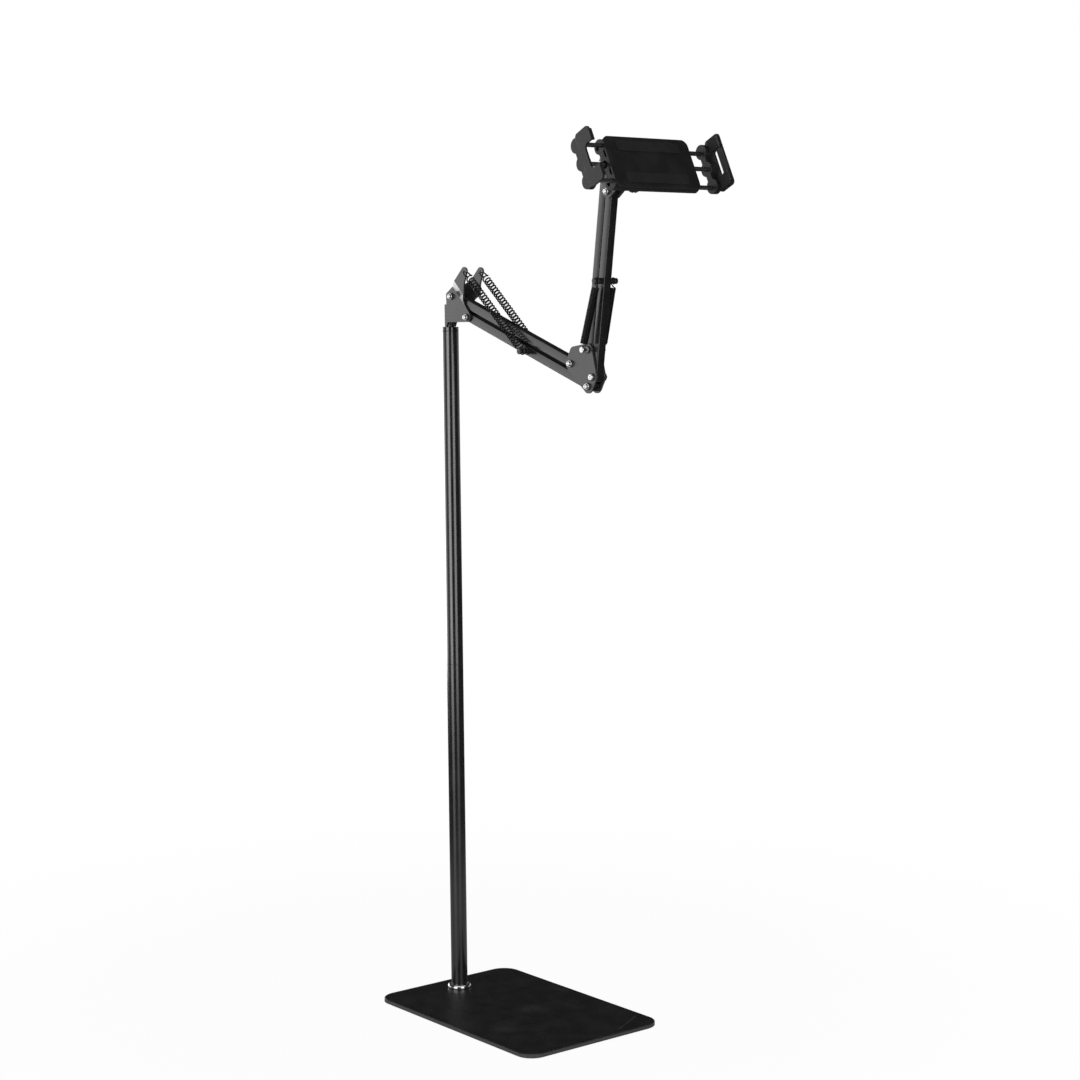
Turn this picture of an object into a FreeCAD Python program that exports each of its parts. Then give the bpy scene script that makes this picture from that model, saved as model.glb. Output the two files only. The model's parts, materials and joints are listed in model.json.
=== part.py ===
import FreeCAD, Part
import math
import os
from FreeCAD import Vector

# Tablet floor stand. Millimetres, +Z up. The origin is on the floor on the pole's axis.
# +X points forward, the way the arm reaches, and +Y points to the right of a person who
# looks along -X at the clamp. Left pieces lie on the -Y side. The stand is symmetric about y = 0.

# Clearances and general sizes
RUNNING_FIT = 0.05  # radial, a pin or shank that turns in its hole
OPEN_PIVOT_FIT = 0.3  # radial, at the pivots that close a four-bar loop
SEAT_GAP = 0.1  # between two pieces that are put together and stay together
SIDE_GAP = 0.2  # between a bar and the sheet beside it
THREAD_END = 1.0  # chamfer where a thread starts
OVERRUN = 1.0  # how far a cut runs past the face that it opens

# Base
base_length = 300.0
base_width = 200.0
base_corner = 22.0
base_plate_height = 4.5
base_edge_break = 0.7
pad_height = 1.0
pad_inset = 2.0
pole_to_rear_edge = 34.0
base_screw_radius = 5.0
base_screw_head_radius = 9.0
base_screw_head_height = 3.2
base_screw_length = 22.0
base_screw_socket = 3.0
pad_hole_radius = 11.0
ring_radius = 14.5
ring_height = 4.7
ring_rim_height = 3.0
ring_slope = 1.7

# Pole
pole_radius = 10.0
pole_wall = 1.2
pole_section_length = 405.0
plug_length = 26.0
joint_stud_radius = 5.0
joint_stud_reach = 20.0
joint_bore_spare = 4.0
collar_height = 5.0
collar_edge_break = 0.6
bush_length = 42.0

# Swivel pin
pin_radius = 5.0
pin_head_radius = 5.15
pin_head_height = 20.0
pin_tail = 6.0
pin_groove_depth = 0.8
clip_height = 1.0
clip_radius = 7.4
clip_mouth = 3.0

# Square bars and the sheet brackets around them
bar_size = 10.0
bar_wall = 1.0
bar_edge_break = 0.8
bar_end = 5.0
bar_end_radius = 2.5
sheet = 2.0
pivot_radius = 2.5

# Where the two lower pivots stand on the shoulder and how both four-bar links run
shoulder_pivot_x = 43.0
shoulder_pivot_above_pole = 11.2
lower_link_offset = (-29.9, 25.2)  # from the lower bar's pivot to the upper bar's, x and z
lower_arm_length = 238.0
lower_arm_slope = 19.3  # degrees below the horizontal
elbow_step = (7.2, 10.4)  # from the lower bar's elbow pivot to the front bar's pivot
upper_link_offset = (-7.2, 30.4)  # from the front bar's pivot to the rear bar's
upper_arm_length = 205.0
upper_arm_lean = 8.05  # degrees forward of the vertical

# Shoulder bracket
cheek_foot_above_pole = 5.6
web_top_above_pole = 27.0
ear_hole_x = 47.5
ear_hole_above_pole = 64.5
ear_plane_y = 12.0
ear_hole_radius = 2.0
joggle_length = 12.3
joggle_start = (26.0, 38.5)  # x and height above the pole of a point on the first bend line
joggle_angle = 46.0  # degrees, the ear's direction above the horizontal
foot_front = 2.0  # where the web's foot on the collar ends
foot_slope = 2.5
# The bracket's outline: x, z and rounding of each corner, from the place that is named first
nose_corners = ((4.0, -5.6, 5.0), (7.5, 2.0, 5.0), (-7.0, 18.3, 5.0), (1.8, 26.8, 5.0))  # lower pivot
ear_corners = ((-1.5, -13.0, 15.0), (6.1, 3.4, 4.5), (-2.6, 6.6, 4.5))  # ear's hole
rear_corners = ((14.9, 19.2, 10.0), (-11.1, 3.4, 3.0))  # upper pivot
rear_top_x = 2.4  # where the rear edge meets the web's top

# Elbow plates
boss_lower_link = 7.8
boss_upper_link = 8.2
boss_front_bar = 7.2
boss_spring_post = 7.0
elbow_corner = (-24.8, -3.3)  # from the rear bar's pivot to the plate's free corner
elbow_corner_radius = 7.0

# Pivot screws and nuts
screw_head_radius = 4.1
screw_head_tip_radius = 2.6
screw_head_height = 4.4
pan_radius = 4.0
pan_tip_radius = 3.1
pan_height = 3.2
nut_flats = 8.0
nut_height = 4.0
screw_tail = 1.0

# Springs and their posts
wire = 1.4
wire_sides = 3
lower_spring_radius = 4.05
lower_spring_turns = 18
lower_spring_y = 12.0
lower_post_distance = 120.0
lower_post_radius = 2.6
upper_spring_radius = 3.4
upper_spring_turns = 10
upper_spring_y = 13.5
upper_pin_distance = 107.0
upper_pin_radius = 3.4
upper_pin_groove_radius = 2.6
upper_pin_half_length = 16.5
elbow_post_radius = 2.5
elbow_post_half_length = 18.5
post_head_radius = 3.6
post_head_height = 3.2
post_base_radius = 4.4
post_base_height = 2.4
lower_post_half_length = 18.0
ear_hook_radius = 3.8
hook_lead = 4.5
hook_play = 0.15  # between a hook's wire and the post it goes round

# Head bracket and ball
head_boss = 7.5
head_web_x = 17.3  # front of the head bracket ahead of the front bar's top pivot
head_web_low = 6.0
head_web_high = 21.0
head_corner_radius = 5.0
head_bend_radius = 3.0
ball_ahead_of_web = 19.6
ball_above_pivot = 12.9  # above the front bar's top pivot
ball_radius = 8.5
ball_band = 15.0  # degrees, width of the bands that the ball and its seats are turned in
ball_neck_radius = 3.0
ball_flange_radius = 5.5
ball_flange_height = 3.0
ball_stud_radius = 3.0
ball_nut_flats = 8.0
ball_nut_height = 3.4

# Tablet clamp, drawn upright about the middle of the tablet's front face and then leaned back
clamp_lean = 25.4  # degrees
tablet_width = 178.5
tube_radius = 8.3
tube_pitch = 21.0
tube_axis_x = -16.0
tube_web_half = 3.7
clamp_half_length = 60.0
clamp_half_height = 30.0
clamp_front_x = -7.4
clamp_corner = 8.0
shell_wall = 2.0
grip_pad_height = 0.9
grip_pad_half_length = 44.0
grip_pad_half_width = 6.0
grip_pad_z = 19.0
grip_pad_corner = 3.0
rod_radius = 2.5
rod_offset = 3.4
rod_inner_end = 15.0
plunger_radius = 2.5
plunger_inner_end = 33.0
clamp_spring_radius = 3.6
clamp_spring_bore_radius = 4.3
boss_thickness = 5.5
jaw_wall = 2.5
jaw_pad = 1.5
jaw_pad_rear_x = -6.8
jaw_pad_margin = 1.5
jaw_pad_corner = 2.0
jaw_half_height = 31.0
jaw_rear_x = -12.0
jaw_front_x = 11.0
jaw_corner = 4.0
jaw_slot_half = 14.0
left_slot_rear_x = -2.3
slot_corner = 5.0
right_slot_rear_x = -3.0
right_slot_front_x = 1.8
window_corner = 2.0
lip_reach = 2.2
lip_thickness = 2.0
socket_radius = 12.5
socket_thread_radius = 11.0
socket_cavity = 9.8
socket_spigot_radius = 9.0
socket_spigot_length = 1.6
socket_seat_wall = 3.0
ball_behind_face = 40.0
nut_ring_radius = 14.5
nut_ring_front = 5.0  # ahead of the ball's centre
nut_ring_rear = 8.0  # behind the ball's centre
nut_ring_flare = 11.3
nut_ring_grooves = 12
nut_ring_groove_radius = 1.6
nut_ring_groove_depth = 0.9
ball_hold_angle = 24.0  # degrees behind the ball's equator where the ring lets go of it
friction_pad_angle = 30.0
friction_pad_inner = 8.55
friction_pad_outer = 9.55
shell_screw_radius = 1.5
shell_screw_head_radius = 2.6
shell_screw_head_height = 1.6
shell_screw_y = 50.0
shell_screw_length = 9.0

# Places that follow from the sizes
base_top = pad_height + base_plate_height
seam_z = base_top + pole_section_length
pole_top = base_top + 2 * pole_section_length + collar_height
gap_half = bar_size / 2 + SIDE_GAP
cheek_outer = gap_half + sheet
# The faceted wire has the round wire's section area
wire_corner = math.sqrt(math.pi * wire ** 2 / 2 / wire_sides / math.sin(2 * math.pi / wire_sides))


def xz(x, z, y=0.0):
    """A point of the side view."""
    return Vector(x, y, z)


def moved(point, offset):
    """A side-view point shifted by an (x, z) pair."""
    return Vector(point.x + offset[0], point.y, point.z + offset[1])


def along(point, angle, distance):
    """A side-view point at a distance from another, at an angle in degrees above +X."""
    a = math.radians(angle)
    return Vector(point.x + distance * math.cos(a), point.y, point.z + distance * math.sin(a))


lower_angle = -lower_arm_slope
upper_angle = 90.0 - upper_arm_lean
SHOULDER_LOW = xz(shoulder_pivot_x, pole_top + shoulder_pivot_above_pole)
SHOULDER_HIGH = moved(SHOULDER_LOW, lower_link_offset)
ELBOW_LOW = along(SHOULDER_LOW, lower_angle, lower_arm_length)
ELBOW_HIGH = along(SHOULDER_HIGH, lower_angle, lower_arm_length)
FRONT_LOW = moved(ELBOW_LOW, elbow_step)
REAR_LOW = moved(FRONT_LOW, upper_link_offset)
FRONT_HIGH = along(FRONT_LOW, upper_angle, upper_arm_length)
REAR_HIGH = along(REAR_LOW, upper_angle, upper_arm_length)
LOWER_POST = along(SHOULDER_LOW, lower_angle, lower_post_distance)
UPPER_PIN = along(FRONT_LOW, upper_angle, upper_pin_distance)
EAR_HOLE = xz(ear_hole_x, pole_top + ear_hole_above_pole)
web_front = FRONT_HIGH.x + head_web_x
BALL = xz(web_front + ball_ahead_of_web, FRONT_HIGH.z + ball_above_pivot)
CLAMP_ORIGIN = along(BALL, clamp_lean, ball_behind_face)


def cylinder(radius, start, end):
    """A round bar between two points."""
    return Part.makeCylinder(radius, (end - start).Length, start, end - start)


def cross_bar(radius, point, y0, y1):
    """A round bar along Y through a side-view point."""
    return cylinder(radius, Vector(point.x, y0, point.z), Vector(point.x, y1, point.z))


def block(x0, x1, y0, y1, z0, z1):
    """A box from its limits."""
    return Part.makeBox(x1 - x0, y1 - y0, z1 - z0, Vector(x0, y0, z0))


def turned(points, axis_point=Vector(0, 0, 0)):
    """A solid turned about a vertical axis from a closed (radius, z) outline."""
    ring = [Vector(axis_point.x + r, axis_point.y, axis_point.z + z) for r, z in points]
    face = Part.Face(Part.makePolygon(ring + [ring[0]]))
    return face.revolve(axis_point, Vector(0, 0, 1), 360)


def x_turned(points, axis_point=Vector(0, 0, 0)):
    """A solid turned about an axis along X from a closed (x, radius) outline."""
    ring = [Vector(axis_point.x + x, 0, axis_point.z + r) for x, r in points]
    face = Part.Face(Part.makePolygon(ring + [ring[0]]))
    return face.revolve(axis_point, Vector(1, 0, 0), 360)


def ball_outline(radius, start, end, around=False):
    """(x, radius) points from one angle to another, in degrees from +X, that turn into a ball's bands.

    The corners lie on the ball, or around it where something else turns inside.
    """
    count = max(2, round(abs(end - start) / ball_band))
    reach = radius / math.cos(math.radians((end - start) / count / 2)) if around else radius
    angles = [math.radians(start + (end - start) * i / count) for i in range(count + 1)]
    return [(reach * math.cos(g), reach * math.sin(g)) for g in angles]


def hexagon(flats, point, y0, y1):
    """A six-sided prism along Y about a side-view point."""
    r = flats / math.sqrt(3)
    ring = [xz(point.x + r * math.cos(i * math.pi / 3), point.z + r * math.sin(i * math.pi / 3), y0)
            for i in range(6)]
    return Part.Face(Part.makePolygon(ring + [ring[0]])).extrude(Vector(0, y1 - y0, 0))


def rounded_outline(corners):
    """A closed wire through corner points, each given with its own rounding radius."""
    count = len(corners)
    cuts = []
    for i, (point, radius) in enumerate(corners):
        back = (corners[i - 1][0] - point).normalize()
        ahead = (corners[(i + 1) % count][0] - point).normalize()
        half = back.getAngle(ahead) / 2
        reach = radius / math.tan(half) if radius else 0.0
        middle = (back + ahead).normalize() if radius else Vector(0, 0, 0)
        top = point + middle * (radius / math.sin(half) - radius) if radius else point
        cuts.append((point + back * reach, top, point + ahead * reach, radius))
    edges = []
    for i, (start, top, end, radius) in enumerate(cuts):
        if radius:
            edges.append(Part.Arc(start, top, end).toShape())
        follow = cuts[(i + 1) % count][0]
        if (follow - end).Length > 1e-6:
            edges.append(Part.LineSegment(end, follow).toShape())
    return Part.Wire(edges)


def belt(circles):
    """The closed wire of a belt laid round side-view circles, listed anticlockwise."""
    count = len(circles)
    sides = []
    for i, (centre, radius) in enumerate(circles):
        other, other_radius = circles[(i + 1) % count]
        run = other - centre
        direction = Vector(run).normalize()
        outward = Vector(direction.z, 0, -direction.x)
        share = (radius - other_radius) / run.Length
        normal = direction * share + outward * math.sqrt(1 - share * share)
        sides.append((centre + normal * radius, other + normal * other_radius, normal))
    edges = []
    for i, (centre, radius) in enumerate(circles):
        arrive, leave = sides[i - 1], sides[i]
        middle = centre + (arrive[2] + leave[2]).normalize() * radius
        edges.append(Part.Arc(arrive[1], middle, leave[0]).toShape())
        edges.append(Part.LineSegment(leave[0], leave[1]).toShape())
    return Part.Wire(edges)


def plate(wire, y0, y1):
    """A side-view outline made solid between two planes across Y."""
    face = Part.Face(wire)
    face.translate(Vector(0, y0 - face.CenterOfMass.y, 0))
    return face.extrude(Vector(0, y1 - y0, 0))


def mirror_y(shape):
    """The same piece on the other side of the stand."""
    return shape.mirror(Vector(0, 0, 0), Vector(0, 1, 0))


def joined(shapes):
    """Several solids fused into one, with seams between flush faces removed."""
    result = shapes[0]
    for other in shapes[1:]:
        result = result.fuse(other)
    return result.removeSplitter()


def group(shapes):
    """Alike loose solids that share one node."""
    return Part.makeCompound(shapes)


def leaned(shape):
    """A piece of the clamp put in its place, leaned back on the ball."""
    turn = FreeCAD.Rotation(Vector(0, 1, 0), -clamp_lean)
    shape.Placement = FreeCAD.Placement(CLAMP_ORIGIN, turn).multiply(shape.Placement)
    return shape


def base_outline(inset, z):
    """The base's rounded rectangle, drawn smaller by an inset."""
    x0, x1 = inset - pole_to_rear_edge, base_length - pole_to_rear_edge - inset
    y1 = base_width / 2 - inset
    r = base_corner - inset
    return rounded_outline([(Vector(x0, -y1, z), r), (Vector(x1, -y1, z), r),
                            (Vector(x1, y1, z), r), (Vector(x0, y1, z), r)])


def base_plate():
    """Flat steel plate with broken upper edges and a countersunk hole under the pole."""
    body = Part.Face(base_outline(0, pad_height)).extrude(Vector(0, 0, base_plate_height))
    upper = [e for e in body.Edges if min(v.Z for v in e.Vertexes) > base_top - 0.01]
    body = body.makeChamfer(base_edge_break, upper)
    bore = base_screw_radius + SEAT_GAP
    wide = base_screw_head_radius + SEAT_GAP
    hole = turned([(0, pad_height - OVERRUN), (wide, pad_height - OVERRUN), (wide, pad_height),
                   (bore, pad_height + base_screw_head_height), (bore, base_top + OVERRUN),
                   (0, base_top + OVERRUN)])
    return body.cut(hole)


def base_pad():
    """Thin anti-slip sheet under the plate, open around the screw's head."""
    body = Part.Face(base_outline(pad_inset, 0)).extrude(Vector(0, 0, pad_height))
    return body.cut(Part.makeCylinder(pad_hole_radius, pad_height * 3, Vector(0, 0, -pad_height)))


def base_screw():
    """Countersunk screw that draws the pole down on the plate, with a hexagon socket."""
    z0 = pad_height
    top = z0 + base_screw_length
    body = turned([(0, z0), (base_screw_head_radius, z0),
                   (base_screw_radius, z0 + base_screw_head_height), (base_screw_radius, top - THREAD_END),
                   (base_screw_radius - THREAD_END, top), (0, top)])
    corners = [math.pi / 3 * i for i in range(6)]
    ring = [Vector(base_screw_socket * math.cos(g), base_screw_socket * math.sin(g), z0 - OVERRUN)
            for g in corners]
    socket = Part.Face(Part.makePolygon(ring + [ring[0]])).extrude(Vector(0, 0, base_screw_socket + OVERRUN))
    return body.cut(socket)


def base_ring():
    """Ring that hides the joint of pole and plate, with a sloped upper edge."""
    bore = pole_radius + SEAT_GAP
    return turned([(bore, base_top), (ring_radius, base_top), (ring_radius, base_top + ring_rim_height),
                   (ring_radius - ring_slope, base_top + ring_height), (bore, base_top + ring_height)])


def pole_tube(z0):
    """One section of the pole."""
    outer = Part.makeCylinder(pole_radius, pole_section_length, Vector(0, 0, z0))
    return outer.cut(Part.makeCylinder(pole_radius - pole_wall, pole_section_length + 2 * OVERRUN,
                                       Vector(0, 0, z0 - OVERRUN)))


def pole_foot_plug():
    """Threaded plug pressed into the foot of the lower section."""
    outer = pole_radius - pole_wall - SEAT_GAP
    bore = base_screw_radius + SEAT_GAP
    return turned([(bore, base_top), (outer, base_top), (outer, base_top + plug_length),
                   (bore, base_top + plug_length)])


def pole_joint_stud():
    """Plug in the top of the lower section, with the stud that the upper section screws on."""
    outer = pole_radius - pole_wall - SEAT_GAP
    top = seam_z + joint_stud_reach
    return turned([(0, seam_z - plug_length), (outer, seam_z - plug_length), (outer, seam_z),
                   (joint_stud_radius, seam_z), (joint_stud_radius, top - THREAD_END),
                   (joint_stud_radius - THREAD_END, top), (0, top)])


def pole_joint_socket():
    """Threaded plug in the foot of the upper section."""
    outer = pole_radius - pole_wall - SEAT_GAP
    bore = joint_stud_radius + SEAT_GAP
    top = seam_z + joint_stud_reach + joint_bore_spare
    return turned([(bore, seam_z), (outer, seam_z), (outer, top), (bore, top)])


def pole_collar():
    """Glossy collar that closes the pole and carries the swivel pin in its long bush."""
    outer = pole_radius - pole_wall - SEAT_GAP
    bore = pin_radius + RUNNING_FIT
    seat = pole_top - collar_height
    return turned([(bore, seat - bush_length), (outer, seat - bush_length), (outer, seat),
                   (pole_radius, seat), (pole_radius, pole_top - collar_edge_break),
                   (pole_radius - collar_edge_break, pole_top), (bore, pole_top)])


def swivel_pin():
    """Pin fixed in the shoulder bracket, with a shoulder that rests on the collar."""
    seat = pole_top + SIDE_GAP
    end = pole_top - collar_height - bush_length - pin_tail
    groove_top = pole_top - collar_height - bush_length - SIDE_GAP
    groove_low = groove_top - clip_height - 2 * SEAT_GAP
    core = pin_radius - pin_groove_depth
    return turned([(0, end), (pin_radius - THREAD_END, end), (pin_radius, end + THREAD_END),
                   (pin_radius, groove_low),
                   (core, groove_low), (core, groove_top), (pin_radius, groove_top),
                   (pin_radius, seat), (pin_head_radius, seat),
                   (pin_head_radius, seat + pin_head_height), (0, seat + pin_head_height)])


def pin_clip():
    """Snap ring in the pin's groove under the bush, open on one side."""
    top = pole_top - collar_height - bush_length - SIDE_GAP - SEAT_GAP
    inner = pin_radius - pin_groove_depth + SEAT_GAP
    ring = turned([(inner, top - clip_height), (clip_radius, top - clip_height),
                   (clip_radius, top), (inner, top)])
    return ring.cut(block(0, clip_radius + OVERRUN, -clip_mouth / 2, clip_mouth / 2,
                          top - clip_height - OVERRUN, top + OVERRUN))


def bar(start, end, holes):
    """Square tube between two pivots, rounded at its ends, with cross holes (point, radius)."""
    run = end - start
    half = bar_size / 2
    x0, x1 = -bar_end, run.Length + bar_end
    ends = [(xz(x, z), bar_end_radius) for x, z in ((x0, -half), (x1, -half), (x1, half), (x0, half))]
    side = plate(rounded_outline(ends), -half, half)
    section = []
    for i in range(4):
        turn = FreeCAD.Rotation(Vector(1, 0, 0), 90 * i)
        for z in (bar_edge_break - half, half - bar_edge_break):
            section.append(turn.multVec(Vector(0, half, z)) + Vector(x0 - OVERRUN, 0, 0))
    hull = Part.Face(Part.makePolygon(section + [section[0]])).extrude(Vector(x1 - x0 + 2 * OVERRUN, 0, 0))
    inner = half - bar_wall
    tube = side.common(hull).cut(block(x0 - OVERRUN, x1 + OVERRUN, -inner, inner, -inner, inner))
    angle = math.degrees(math.atan2(run.z, run.x))
    tube.Placement = FreeCAD.Placement(start, FreeCAD.Rotation(Vector(0, 1, 0), -angle))
    for point, radius in holes:
        tube = tube.cut(cross_bar(radius, point, -bar_size, bar_size))
    return tube


def pivot_screw(point, domed=True):
    """Screw across a bracket, its head on the left: a tall dome, or a low pan head."""
    tail = cheek_outer + nut_height + screw_tail
    if domed:
        wide, narrow, top = screw_head_radius, screw_head_tip_radius, cheek_outer + screw_head_height
    else:
        wide, narrow, top = pan_radius, pan_tip_radius, cheek_outer + pan_height
    body = turned([(0, -tail), (pivot_radius, -tail), (pivot_radius, cheek_outer), (wide, cheek_outer),
                   (narrow, top), (0, top)])
    body.rotate(Vector(0, 0, 0), Vector(1, 0, 0), 90)
    body.translate(Vector(point.x, 0, point.z))
    return body


def pivot_nut(point):
    """Hexagon nut on the right-hand end of a pivot screw."""
    body = hexagon(nut_flats, point, cheek_outer, cheek_outer + nut_height)
    return body.cut(cross_bar(pivot_radius + SEAT_GAP, point, 0, cheek_outer + 2 * nut_height))


def shoulder_bracket():
    """Sheet bracket folded round the swivel pin, with two cheeks and two joggled spring ears."""
    inner, outer = gap_half, cheek_outer
    foot = pole_top + SIDE_GAP
    cheek_foot = pole_top + cheek_foot_above_pole
    web_top = pole_top + web_top_above_pole
    corners = [(xz(-2 * outer, foot), 0), (xz(foot_front, foot), 0),
               (xz(foot_front + foot_slope, cheek_foot), 2.0)]
    for place, steps in ((SHOULDER_LOW, nose_corners), (EAR_HOLE, ear_corners),
                         (SHOULDER_HIGH, rear_corners)):
        corners += [(xz(place.x + x, place.z + z), radius) for x, z, radius in steps]
    corners += [(xz(rear_top_x, web_top), 0), (xz(-2 * outer, web_top), 0)]
    side = plate(rounded_outline(corners), -2 * ear_plane_y, 2 * ear_plane_y)

    # The folded strip in plan: half round at the rear, straight cheeks ahead of it
    reach = max(point.x for point, radius in corners)
    z0, z1 = foot - OVERRUN, EAR_HOLE.z + 2 * ear_plane_y

    def strip(half, front):
        round_rear = cylinder(half, Vector(0, 0, z0), Vector(0, 0, z1))
        return round_rear.fuse(block(0, front, -half, half, z0, z1))

    fold = strip(outer, reach).cut(strip(inner, reach + OVERRUN))

    # The joggle: past the bend line the cheek steps outward to the ear's plane
    bend = xz(joggle_start[0], pole_top + joggle_start[1])
    a = math.radians(joggle_angle)
    up = Vector(math.cos(a), 0, math.sin(a))
    across = Vector(math.sin(a), 0, -math.cos(a))
    wide = 2 * ear_hole_above_pole
    half = sheet / 2
    slope = math.atan2(ear_plane_y - inner - half, joggle_length)
    shift = half * math.tan(slope / 2)

    def swept(profile):
        """An (up, y) section carried along the bend line."""
        ring = [bend - across * wide + up * u + Vector(0, y, 0) for u, y in profile]
        return Part.Face(Part.makePolygon(ring + [ring[0]])).extrude(across * 2 * wide)

    ear = swept([(shift, inner), (joggle_length + shift, ear_plane_y - half),
                 (wide, ear_plane_y - half), (wide, ear_plane_y + half),
                 (joggle_length - shift, ear_plane_y + half), (-shift, outer), (-shift, inner)])
    beyond = swept([(-shift, -2 * outer), (wide, -2 * outer), (wide, 2 * outer), (-shift, 2 * outer)])
    body = joined([fold.cut(beyond), ear, mirror_y(ear)]).common(side)
    for point, radius in ((SHOULDER_HIGH, pivot_radius), (SHOULDER_LOW, pivot_radius),
                          (EAR_HOLE, ear_hole_radius)):
        body = body.cut(cross_bar(radius + SEAT_GAP, point, -3 * ear_plane_y, 3 * ear_plane_y))
    return body.removeSplitter()


def elbow_plate(side):
    """Flat five-cornered plate on one side of the elbow."""
    corner = moved(REAR_LOW, elbow_corner)
    wire_outline = belt([(ELBOW_LOW, boss_lower_link), (FRONT_LOW, boss_front_bar),
                         (REAR_LOW, boss_spring_post), (corner, elbow_corner_radius),
                         (ELBOW_HIGH, boss_upper_link)])
    y0 = gap_half if side > 0 else -cheek_outer
    body = plate(wire_outline, y0, y0 + sheet)
    for point in (ELBOW_LOW, ELBOW_HIGH, FRONT_LOW, REAR_LOW):
        body = body.cut(cross_bar(pivot_radius + SEAT_GAP, point, -2 * cheek_outer, 2 * cheek_outer))
    return body


def spring_post(point, radius, half_length, seat_y):
    """Rod across the arm with a head at each end and a washer face against what carries it."""
    parts = [cross_bar(radius, point, -half_length, half_length)]
    head_y = half_length - post_head_height
    for s in (-1, 1):
        parts.append(cross_bar(post_head_radius, point, s * head_y, s * half_length))
        parts.append(cross_bar(post_base_radius, point, s * seat_y, s * (seat_y + post_base_height)))
    return joined(parts)


def upper_spring_pin():
    """Plain round pin through the front bar, necked near both ends for the hooks."""
    body = cross_bar(upper_pin_radius, UPPER_PIN, -upper_pin_half_length, upper_pin_half_length)
    for s in (-1, 1):
        y0, y1 = s * (upper_spring_y - wire), s * (upper_spring_y + wire)
        neck = cross_bar(upper_pin_radius * 2, UPPER_PIN, y0, y1)
        neck = neck.cut(cross_bar(upper_pin_groove_radius, UPPER_PIN, y0, y1))
        body = body.cut(neck)
    return body


def biarc(p0, t0, p1, t1):
    """Two arcs that leave p0 along t0 and reach p1 along t1."""
    v = p1 - p0
    t = t0 + t1
    k = 2 * (1 - t0.dot(t1))
    vt = v.dot(t)
    if k < 1e-9:
        d = v.dot(v) / (2 * vt)
    else:
        d = (math.sqrt(vt * vt + k * v.dot(v)) - vt) / k
    q0, q1 = p0 + t0 * d, p1 - t1 * d
    middle = (q0 + q1) * 0.5
    return [arc_by_corner(p0, q0, middle), arc_by_corner(middle, q1, p1)]


def arc_by_corner(start, corner, end):
    """The arc that touches both sides of a corner at equal distances, or a straight run."""
    chord = (end - start).Length
    side = (corner - start).Length
    w = chord / 2 / side
    if w > 1 - 1e-9:
        return Part.LineSegment(start, end)
    middle = (start + end + corner * (2 * w)) * (1 / (2 + 2 * w))
    return Part.Arc(start, middle, end)


def hook_nodes(anchor, inward, side, radius, through):
    """Points and tangents of an open loop, from its free end to where it heads back inward.

    Round a post the loop is centred on the post. Through a plate its far side is at the hole.
    """
    centre = anchor + inward * radius if through else anchor
    nodes = []
    for degrees in (250, 170, 85, 0):
        g = math.radians(degrees)
        point = centre + side * (radius * math.cos(g)) - inward * (radius * math.sin(g))
        nodes.append((point, side * math.sin(g) + inward * math.cos(g)))
    return nodes


def spring_nodes(top, bottom, y, radius, turns, hook_top, hook_bottom):
    """Points and tangents along one spring. A hook is (radius, True where it goes through a plate)."""
    a = (bottom - top).normalize()
    b = Vector(0, 1, 0)
    c = b.cross(a)

    def reach(hook):
        """How far from its anchor a hook's straight lead ends."""
        return (2 * hook[0] if hook[1] else hook[0]) + hook_lead

    def phase(hook):
        """Where round the coil the wire leaves for a hook: its loop lies across Y or along it."""
        return math.pi if hook[1] else math.pi / 2

    start, end = reach(hook_top), (bottom - top).Length - reach(hook_bottom)
    phase0 = phase(hook_top)
    phase1 = phase0 + 2 * math.pi * turns + phase(hook_bottom) - phase(hook_top)
    rise = (end - start) / (phase1 - phase0)

    def coil(angle):
        round_axis = (c * math.cos(angle) + b * math.sin(angle)) * radius
        tangent = (b * math.cos(angle) - c * math.sin(angle)) * radius + a * rise
        return top + a * (start + rise * (angle - phase0)) + round_axis, tangent.normalize()

    nodes = hook_nodes(top, a, b if hook_top[1] else c, *hook_top)
    spans = int(math.ceil((phase1 - phase0) / (math.pi / 2) - 1e-6))
    nodes += [coil(phase0 + (phase1 - phase0) * i / spans) for i in range(spans + 1)]
    far_hook = hook_nodes(bottom, a * -1, b if hook_bottom[1] else c, *hook_bottom)
    nodes += [(point, tangent * -1) for point, tangent in reversed(far_hook)]
    return [(point + Vector(0, y, 0), tangent) for point, tangent in nodes]


def least_gap(edges):
    """Least distance between stretches of a wire that aren't neighbours, less its thickness."""
    points = []
    walked = 0.0
    for edge in edges:
        steps = max(2, int(edge.Length / 0.8))
        for i in range(steps):
            u = edge.FirstParameter + (edge.LastParameter - edge.FirstParameter) * i / steps
            points.append((walked + edge.Length * i / steps, edge.valueAt(u)))
        walked += edge.Length
    best = 1e9
    for i, (s, p) in enumerate(points):
        for s2, p2 in points[i + 1:]:
            if s2 - s > 4 * wire and abs(p2.x - p.x) < 3 and abs(p2.z - p.z) < 3:
                best = min(best, p.distanceToPoint(p2))
    return best - wire


def spring(name, *layout):
    """One unbroken faceted wire: a hook, the coil and the other hook."""
    nodes = spring_nodes(*layout)
    edges = []
    for (p0, t0), (p1, t1) in zip(nodes, nodes[1:]):
        edges += [piece.toShape() for piece in biarc(p0, t0, p1, t1)]
    start, tangent = nodes[0]
    across = Vector(0, 1, 0).cross(tangent)
    if across.Length < 0.1:
        across = Vector(1, 0, 0).cross(tangent)
    across.normalize()
    beside = tangent.cross(across)
    ring = []
    for i in range(wire_sides):
        g = 2 * math.pi * i / wire_sides
        ring.append(start + (across * math.cos(g) + beside * math.sin(g)) * wire_corner)
    tube = Part.Wire(edges).makePipeShell([Part.makePolygon(ring + [ring[0]])], True, False)
    print(name, "least gap to itself", round(least_gap(edges), 2), "mm")
    return tube


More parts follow.
